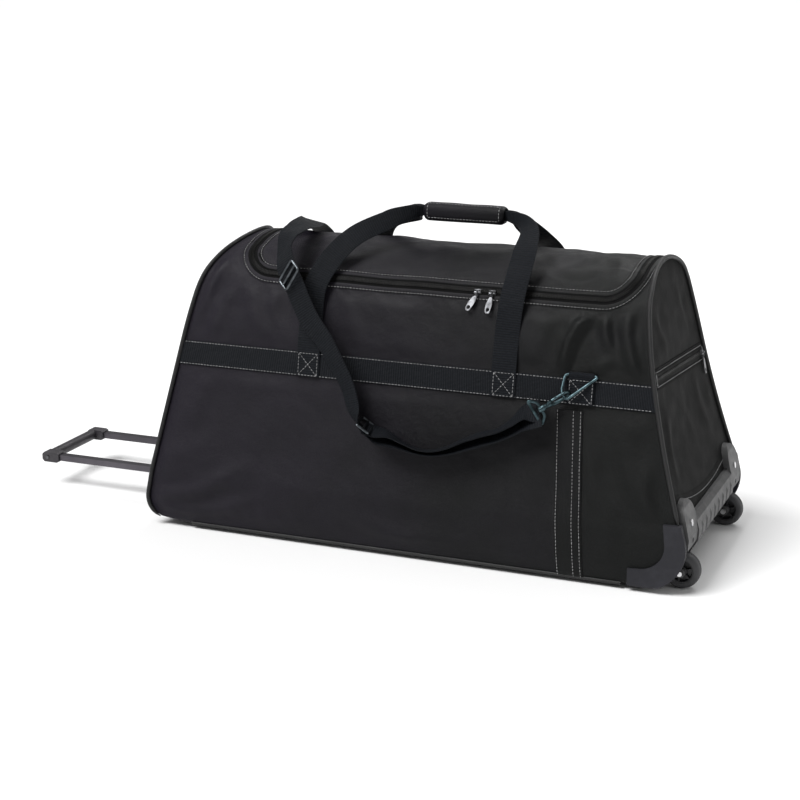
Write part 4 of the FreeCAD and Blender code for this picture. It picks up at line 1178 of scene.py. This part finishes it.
LOWER_PLY = [
    ((341, -185, 246), (-0.3, 0.55, 0.75), 36, 2), ((318, -183, 230), (-0.3, 0.91, 0.27), 35, 2),
    ((300, -185, 219), (-0.32, 0.93, 0.2), 35, 2), ((280, -187, 208), (-0.32, 0.94, 0.14), 35, 2),
    ((248, -189, 196), (-0.33, 0.93, 0.15), 35, 2), ((225, -191, 187), (-0.34, 0.93, 0.1), 35, 2),
    ((202, -193, 178), (-0.35, 0.94, -0.04), 35, 2), ((175, -194, 171.5), (-0.36, 0.92, -0.12), 35, 2),
    ((154, -194, 171.5), (-0.36, 0.92, -0.12), 35, 2), ((133, -193.5, 176), (-0.37, 0.92, 0.0), 36, 2),
    ((107, -192, 184), (-0.37, 0.85, 0.32), 36, 2), ((86, -193, 189), (-0.45, 0.82, 0.3)),
]
UPPER_PLY = [
    ((339, -181, 252), (-0.2, 0.45, 0.87), 36, 2), ((318, -180, 248), (-0.31, 0.85, 0.4), 35, 2),
    ((299, -185, 232), (-0.32, 0.95, 0.05), 35, 2), ((280, -188, 219), (-0.32, 0.94, -0.1), 35, 2),
    ((248, -189, 207), (-0.33, 0.94, -0.09), 35, 2), ((225, -191, 197), (-0.34, 0.92, -0.16), 35, 2),
    ((202, -194, 185), (-0.34, 0.92, -0.2), 35, 2), ((175, -195, 177), (-0.35, 0.91, -0.22), 35, 2),
    ((154, -195, 177), (-0.35, 0.9, -0.22), 35, 2), ((133, -194.5, 183), (-0.36, 0.9, -0.18), 36, 2),
    ((107, -193, 193), (-0.38, 0.9, 0.0), 36, 2), ((88, -194, 196), (-0.45, 0.85, 0.2)),
]
RISING = [(*station, WEB, 2.2) for station in (
    ((72, -196, 198), (-0.5, 0.83, 0.25)), ((60, -193, 209), (-0.58, 0.78, 0.15)),
    ((52, -189, 221), (-0.74, 0.62, 0.05)), ((38, -182.5, 258), (-0.82, 0.52, -0.15)),
    ((13, -176, 297), (-0.86, 0.42, -0.3)), ((-8, -169, 325), (-0.86, 0.35, -0.35)),
    ((-31, -163, 348), (-0.85, 0.2, -0.45)), ((-50, -156.5, 377), (-0.78, 0.15, -0.58)),
    ((-61, -153, 398), (-0.6, 0.1, -0.8)), ((-71, -150, 415), (-0.42, 0.05, -0.9)),
    ((-81, -144, 432), (-0.75, 0.1, -0.62)),
)]
OVER_TOP = [
    ((-88, -132, 447), (-0.75, 0.45, -0.25), 37, 2.4), ((-91, -112, 466), (-0.85, 0.45, 0.05), 36, 2.4),
    ((-92, -74, 475), (-0.9, 0.3, 0.15), 36, 2.4), ((-96, -34, 474), (-0.9, 0.1, 0.33), 37, 2.4),
    ((-106, 5, 470), (-0.9, 0.1, 0.33), 38, 2.4), ((-119, 45, 463), (-0.97, 0.1, 0.12), 36, 2.4),
    ((-128, 85, 447), (-1, 0, 0), 37, 2.4), ((-131, 114, 430), (-1, 0, 0), WEB, 2.4),
    ((-131, 128, 412), (-1, 0, 0), WEB, 2.4), ((-129, 136, 400), (-1, 0, 0), WEB, 2.4),
]
TOP_SPLIT = 5

strap = Shape()
ribbon(strap, LOWER_PLY + RISING + OVER_TOP[:TOP_SPLIT], 3.0)
ribbon(strap, UPPER_PLY + [((70, -197.5, 201), (-0.5, 0.83, 0.25))], 3.0)
strap_front = piece("shoulder_strap_front", strap, WEBBING, None, ["strap_front_run", "strap_rise"])
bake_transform(strap_front)
rear_length = ribbon(Shape(), OVER_TOP[TOP_SPLIT - 1:])
strap_rear = piece("shoulder_strap_rear", rear_length, WEBBING, None, ["strap_over_top"])
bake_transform(strap_rear)


def slide_buckle(name, centre, along, up):
    """A three-bar slide: a rounded frame with a middle bar."""
    turn, centre = turned_frame(along, up), np.array(centre, float)
    shape = Shape()
    outline = rounded_path([(-11, -21, 1.6), (11, -21, 1.6), (11, 21, 1.6), (-11, 21, 1.6)], 4.0, steps=6)
    wire(shape, centre + outline @ turn.T, 1.9, unit(up), True)
    bar = resample([(0, -21, 1.6), (0, 21, 1.6)], 6)
    wire(shape, centre + bar @ turn.T, 1.8, unit(up))
    obj = piece(name, shape, BUCKLE, None, [f"{name}_buckle"])
    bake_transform(obj)


slide_buckle("lower_slide", (71, -196, 204), (0.8, 0.15, -0.59), (0.53, 0.1, 0.84))
slide_buckle("upper_slide", (-70, -152.5, 415), (0.66, -0.4, -0.5), (-0.5, -0.85, 0.2))

# ---------------------------------------------------------------- rings, tabs and snap hooks

HOOK_REACH = 31.4
WIRE = 2.2


def ring_tab(shape, x, side, ring_z):
    """Webbing sewn over the band and folded round the ring's bar."""
    across = (1, 0, 0)
    bar = np.array([x, side * (half_width(ring_z) + 2.2 + WIRE), ring_z])
    under = [(side_point(x, side, z, 3.2), across) for z in (261, 270, 280, 290, 296)]
    over = [((x, bar[1] + side * 3.3 * math.sin(a), bar[2] + 3.3 * math.cos(a)), across)
            for a in np.radians((-80, -40, 0, 40, 80, 120))]
    outer = [(side_point(x, side, z, 5.3), across) for z in (296, 288, 276, 262)]
    ribbon(shape, under + over, 2.0)
    ribbon(shape, over[-2:] + outer, 2.0)
    return bar


def triangle_ring(name, bar, tip, tangent):
    """A wire ring with a straight bar in its tab and a narrow end in its hook."""
    corners = [bar - (25, 0, 0), bar + (25, 0, 0), tip + tangent * 7.5, tip - tangent * 7.5]
    ring = wire(Shape(), rounded_path(corners, 6.5, steps=7), WIRE, (0.1, 1, 0.2), True, 12)
    piece(name, ring, HARDWARE, "bag", [name])


def snap_hook(end, seat, along, plate_up, base_up):
    """A swivelling lobster hook: strap loop, barrel and jaw, with its sprung gate."""
    along = unit(along)
    root = seat - along * HOOK_REACH
    plate, base = turned_frame(along, plate_up), turned_frame(along, base_up)
    shape = Shape()
    loop = rounded_path([(-17, -20.5, 0), (-6, -11, 0), (-6, 11, 0), (-17, 20.5, 0)], 4, steps=6)
    wire(shape, root + loop @ base.T, 2.3, base[:, 2], True, 12)
    turned(root, along, [(-10, 2.5), (-9.6, 4.2), (-8, 4.8), (-6.5, 4.8), (-6, 3.6), (-5, 3.6), (-4.6, 4.8),
                         (-2, 4.9), (0, 4.2), (2, 3.4), (6, 3.2)], 24, shape)
    jaw = np.array([(2, 0, 0), (7, -3, 0), (12, -6.6, 0), (20, -8.6, 0), (29, -9, 0), (36, -8, 0),
                    (40.5, -4, 0), (41, 1, 0), (38.5, 6, 0), (34.5, 8.8, 0), (31.5, 8.9, 0)], float)
    jaw = spline(jaw, distances(jaw), np.linspace(0, distances(jaw)[-1], 44))
    thick = np.interp(np.linspace(0, 1, 44), [0, 0.15, 0.5, 0.8, 1], [3.2, 3.0, 2.5, 2.4, 2.0])
    wire(shape, root + jaw @ plate.T, 1.0, plate[:, 2], sides=12, scale=thick)
    stub = resample([(4, 1, 0), (9, 6.5, 0), (13, 8.7, 0)], 2)
    wire(shape, root + stub @ plate.T, 2.6, plate[:, 2], sides=12)
    piece(f"{end}_hook", shape, HARDWARE, "bag", [f"{end}_snap_hook"])
    gate = Shape()
    lever, thumb = resample([(13.8, 8.8, 0), (31, 8.8, 0)], 2), resample([(20, 9.5, 0), (21.5, 12.2, 0)], 0.8)
    wire(gate, root + lever @ plate.T, 1.9, plate[:, 2], sides=12)
    wire(gate, root + thumb @ plate.T, 1.3, plate[:, 2], sides=10)
    piece(f"{end}_gate", gate, HARDWARE, f"{end}_gate", [f"{end}_hook_gate"])


tabs = Shape()
front_bar = ring_tab(tabs, RING_X - 8, -1, 304)
rear_bar = ring_tab(tabs, REAR_RING_X, 1, 306)
piece("ring_webbing", tabs, WEBBING, "bag", ["ring_tabs"])

front_pull = unit((0.79, 0.315, 0.53))
front_tip = np.array([372, -172, 275.5])
front_tangent = unit(np.cross(np.cross(front_bar - front_tip, (1, 0, 0)), front_pull))
front_tangent = front_tangent * np.sign(front_tangent[0])
triangle_ring("front_ring", front_bar, front_tip, front_tangent)
snap_hook("front", front_tip, front_pull, front_tangent, (0, -1, 0))
rear_tip = np.array([REAR_RING_X, 156, 338])
triangle_ring("rear_ring", rear_bar, rear_tip, np.array([1.0, 0, 0]))
snap_hook("rear", rear_tip, (0, 0.31, -0.95), (1, 0, 0), (0, 1, 0.3))
piece("stitching", stitches, THREAD, "bag")

# ---------------------------------------------------------------- zip sliders and pullers


def plate_with_hole(shape, outline, hole, half, soft, root, turn):
    """A flat tag with softened edges and a hole; the outline and the hole have equal numbers of points."""
    centre = hole.mean(0)
    inward, widen = unit(centre - outline), unit(hole - centre)
    levels = [(soft, -half), (0, -half + soft), (0, half - soft), (soft, half)]
    rings = [np.column_stack([outline + inward * inset, np.full(len(outline), z)]) for inset, z in levels]
    rings += [np.column_stack([hole + widen * inset, np.full(len(hole), z)]) for inset, z in levels[::-1]]
    return grid(shape, root + np.stack(rings) @ turn.T, close_rows=True, close_columns=True)


def zip_hardware(label, seat, along, out, hang, slant):
    """A slider on the coil and the tag that hangs from it."""
    seat, out = np.array(seat, float), unit(out)
    turn = turned_frame(along, out)
    body = Shape()
    slab(body, (-6, -3.9, 0.8), (6, 3.9, 2.2), turn, seat, 0.8)
    slab(body, (-5.4, -3.4, 2.4), (5.4, 3.4, 4.0), turn, seat, 0.8)
    slab(body, (-1.5, -1.5, 1.4), (5.0, 1.5, 3.2), turn, seat, 0.5)
    bridge = rounded_path([(-4.4, 0, 3.6), (-4.0, 0, 6.0), (4.0, 0, 6.0), (4.4, 0, 3.6)], 1.5, False, 5)
    wire(body, seat + bridge @ turn.T, 0.9, out, sides=8)
    crook = rounded_path([(0, 0, 5.6), (0, -5.0, 6.0), (0, -7.4, 3.2)], 1.6, False, 5)
    wire(body, seat + crook @ turn.T, 0.7, out, sides=8)
    piece(f"{label}_zip_body", body, GUNMETAL, f"{label}_slider", [f"{label}_zip_slider"])
    pivot = seat + out * 3 - turn[:, 1] * (4 + 2.2)
    hang = unit(hang)
    lift = unit(np.cross(hang, along))
    lift = lift * np.sign(np.dot(lift, out))
    rock = Matrix.Rotation(math.radians(slant), 3, Vector(lift))
    lie = np.array(rock) @ turned_frame(hang, lift)
    angle = np.arange(56) * math.tau / 56
    x = 15.2 - 13.0 * np.cos(angle)
    half = np.sign(np.sin(angle)) * np.abs(np.sin(angle)) ** 0.5 * (3.2 + 1.5 * smoothstep(x / 16))
    hole = np.stack([22.2 - 2.8 * np.cos(angle), -2.5 * np.sin(angle)], 1)
    tag = Shape()
    plate_with_hole(tag, np.stack([x, -half], 1), hole, 0.8, 0.35, pivot + lift * 0.8, lie)
    eye = np.stack([0.4 + 2.5 * np.cos(angle[::4]), 2.0 * np.sin(angle[::4]), np.zeros(14)], 1)
    wire(tag, pivot + lift * 0.6 + eye @ lie.T, 0.7, lift, True, 8)
    piece(f"{label}_zip_tag", tag, GUNMETAL, f"{label}_puller", [f"{label}_zip_puller"])


for label, seat_x, slant in (("left", 220, -24), ("right", 243, -5)):
    zip_hardware(label, (seat_x, -114.6, 404.6), (1, 0, 0), (0, -0.77, 0.64), (0, -0.50, -0.866), slant)
pocket_seat = np.array([501.6, 132, 282.1])
zip_hardware("pocket", pocket_seat, pocket_seat - (496.7, -125, 301.2), (0.976, 0, 0.217), (0.2, 0, -0.98), 0)

# ---------------------------------------------------------------- wheels

AXLE_X, AXLE_Z = 551, 27
TREAD = both_halves([(-10, 18.5), (-10, 22.4), (-9.3, 24.6), (-7.6, 26.2), (-5, 26.9), (-2.4, 27),
                     (-2, 26.5)])
HUB_RIM = both_halves([(-9, 16.2), (-9.4, 17), (-9.4, 18.2), (-9, 18.7)]) + [(3, 14.6), (-3, 14.6)]
HUB_WEB = both_halves([(-3, 7), (-3, 15.5)])
HUB_BOSS = both_halves([(-10, 4.3), (-10, 7.2), (-9.4, 7.9)])
SPOKES = 6
for side, name in ((-1, "front"), (1, "rear")):
    centre = np.array([AXLE_X, side * WHEEL_Y, AXLE_Z], float)
    tyre = turned(centre, (0, 1, 0), TREAD, 96, closed=True)
    piece(f"{name}_tyre", tyre, TYRE, f"{name}_wheel", [f"{name}_wheel_tyre"])
    hub = Shape()
    for profile, segments in ((HUB_RIM, 72), (HUB_WEB, 72), (HUB_BOSS, 48)):
        turned(centre, (0, 1, 0), profile, segments, hub, closed=True)
    for k in range(SPOKES):
        a = k * math.tau / SPOKES + 0.3
        spoke = np.array([[math.cos(a), 0, -math.sin(a)], [0, 1, 0], [math.sin(a), 0, math.cos(a)]])
        slab(hub, (7, -8, -1.3), (16.6, 8, 1.3), spoke, centre, 0.8)
    piece(f"{name}_hub", hub, HUB, f"{name}_wheel", [f"{name}_wheel_hub"])

wells = Shape()
for side in (-1, 1):
    y = side * WHEEL_Y
    slab(wells, (500, y - WELL_HALF, 6), (503, y + WELL_HALF, WELL_TOP + 1), soft=0.6)
    slab(wells, (502, y - WELL_HALF, WELL_TOP - 1), (546, y + WELL_HALF, WELL_TOP + 1), soft=0.6)
    for edge in (-1, 1):
        slab(wells, (502, y + edge * WELL_HALF - 1, 8), (508, y + edge * WELL_HALF + 1, WELL_TOP), soft=0.5)
piece("wheel_well_liners", wells, SKID, "bag")

# ---------------------------------------------------------------- hard parts carried over from the CAD model

CARRIED = {
    "wheel_housing": (HOUSING, 1.6), "housing_screws": (STEEL, 0.5), "front_corner_guard": (GUARD, 1.8),
    "rear_corner_guard": (GUARD, 1.8), "wheel_axles": (STEEL, 0.5), "skid_feet": (SKID, 1.5),
    "base_board": (SKID, 0.8), "cross_members": (SKID, 0.8), "trolley_sleeves": (TUBE, 0.4),
    "trolley_collars": (GRIP, 0.8), "trolley_tubes": (TUBE, 0.8), "tube_end_plugs": (GRIP, 0.6),
    "detent_balls": (STEEL, 0), "detent_springs": (STEEL, 0), "grip_core": (STEEL, 0.3),
    "grip_upper_shell": (GRIP, 0.5), "grip_lower_shell": (GRIP, 0.5), "trolley_end_caps": (GRIP, 2.2),
    "cap_screws": (GUNMETAL, 0.4),
}
for name, (material, soft) in CARRIED.items():
    obj = nodes[name]
    obj.data.materials.clear()
    obj.data.materials.append(material)
    if soft:
        edge = obj.modifiers.new("soft edges", "BEVEL")
        edge.width = soft * MM
        edge.segments = 3
        edge.limit_method = "ANGLE"
        edge.angle_limit = math.radians(40)
        edge.harden_normals = True

# ---------------------------------------------------------------- studio


def put_in_scene(name, data, at, aim):
    """Puts a lamp, a camera or a mesh in the scene, its -Z turned along a direction."""
    obj = bpy.data.objects.new(name, data)
    obj.location = at
    obj.rotation_euler = Vector(aim).to_track_quat("-Z", "Y").to_euler()
    bpy.context.scene.collection.objects.link(obj)
    return obj


paper = Finish("floor", 0.9, specular=0.1)
paper.set("Base Color", paper.mix(paper.spread(paper.noise(paper.place(), 0.5, 2), 0.3, 0.7),
                                  *shades((0.86, 0.86, 0.86), 0.99, 1.0)))
FLOOR_HALF = 40
floor = bpy.data.meshes.new("floor")
corners = [(x * FLOOR_HALF, y * FLOOR_HALF, -0.0005) for x, y in ((-1, -1), (1, -1), (1, 1), (-1, 1))]
floor.from_pydata(corners, [], [(0, 1, 2, 3)])
floor.materials.append(paper.material)
put_in_scene("floor", floor, (0, 0, 0), (0, 0, -1))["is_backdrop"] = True

world = bpy.data.worlds.new("studio")
world.use_nodes = True
background = world.node_tree.nodes["Background"].inputs
background["Color"].default_value = (1, 1, 1, 1)
background["Strength"].default_value = 0.3
bpy.context.scene.world = world


def softbox(name, at, target, size, power):
    """A rectangular lamp that shines at a target and isn't seen itself."""
    light = bpy.data.lights.new(name, "AREA")
    light.shape = "RECTANGLE"
    light.size, light.size_y = size
    light.energy = power
    put_in_scene(name, light, at, Vector(target) - Vector(at)).visible_camera = False


softbox("back", (0.7, 1.9, 2.6), (0.2, 0, 0.4), (2.6, 1.4), 44)
softbox("right", (2.9, -0.3, 1.2), (0.4, 0, 0.25), (1.8, 1.6), 11)
sun = bpy.data.lights.new("daylight", "SUN")
sun.energy = 3.5
sun.angle = math.radians(32)
put_in_scene("daylight", sun, (0, 0, 0), (0.5, 0.5, -1))
bpy.context.scene.view_settings.view_transform = "Standard"

lens = bpy.data.cameras.new("camera")
lens.lens = 80.55
lens.sensor_width = 36
turn, rise = math.radians(22), math.radians(15.5)
aim = (-math.sin(turn) * math.cos(rise), math.cos(turn) * math.cos(rise), -math.sin(rise))
bpy.context.scene.camera = put_in_scene("camera", lens, (1.084, -2.562, 0.958), aim)

low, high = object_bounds()
{"cad": [list(cad_low), list(cad_high)], "visual": [list(low), list(high)]}
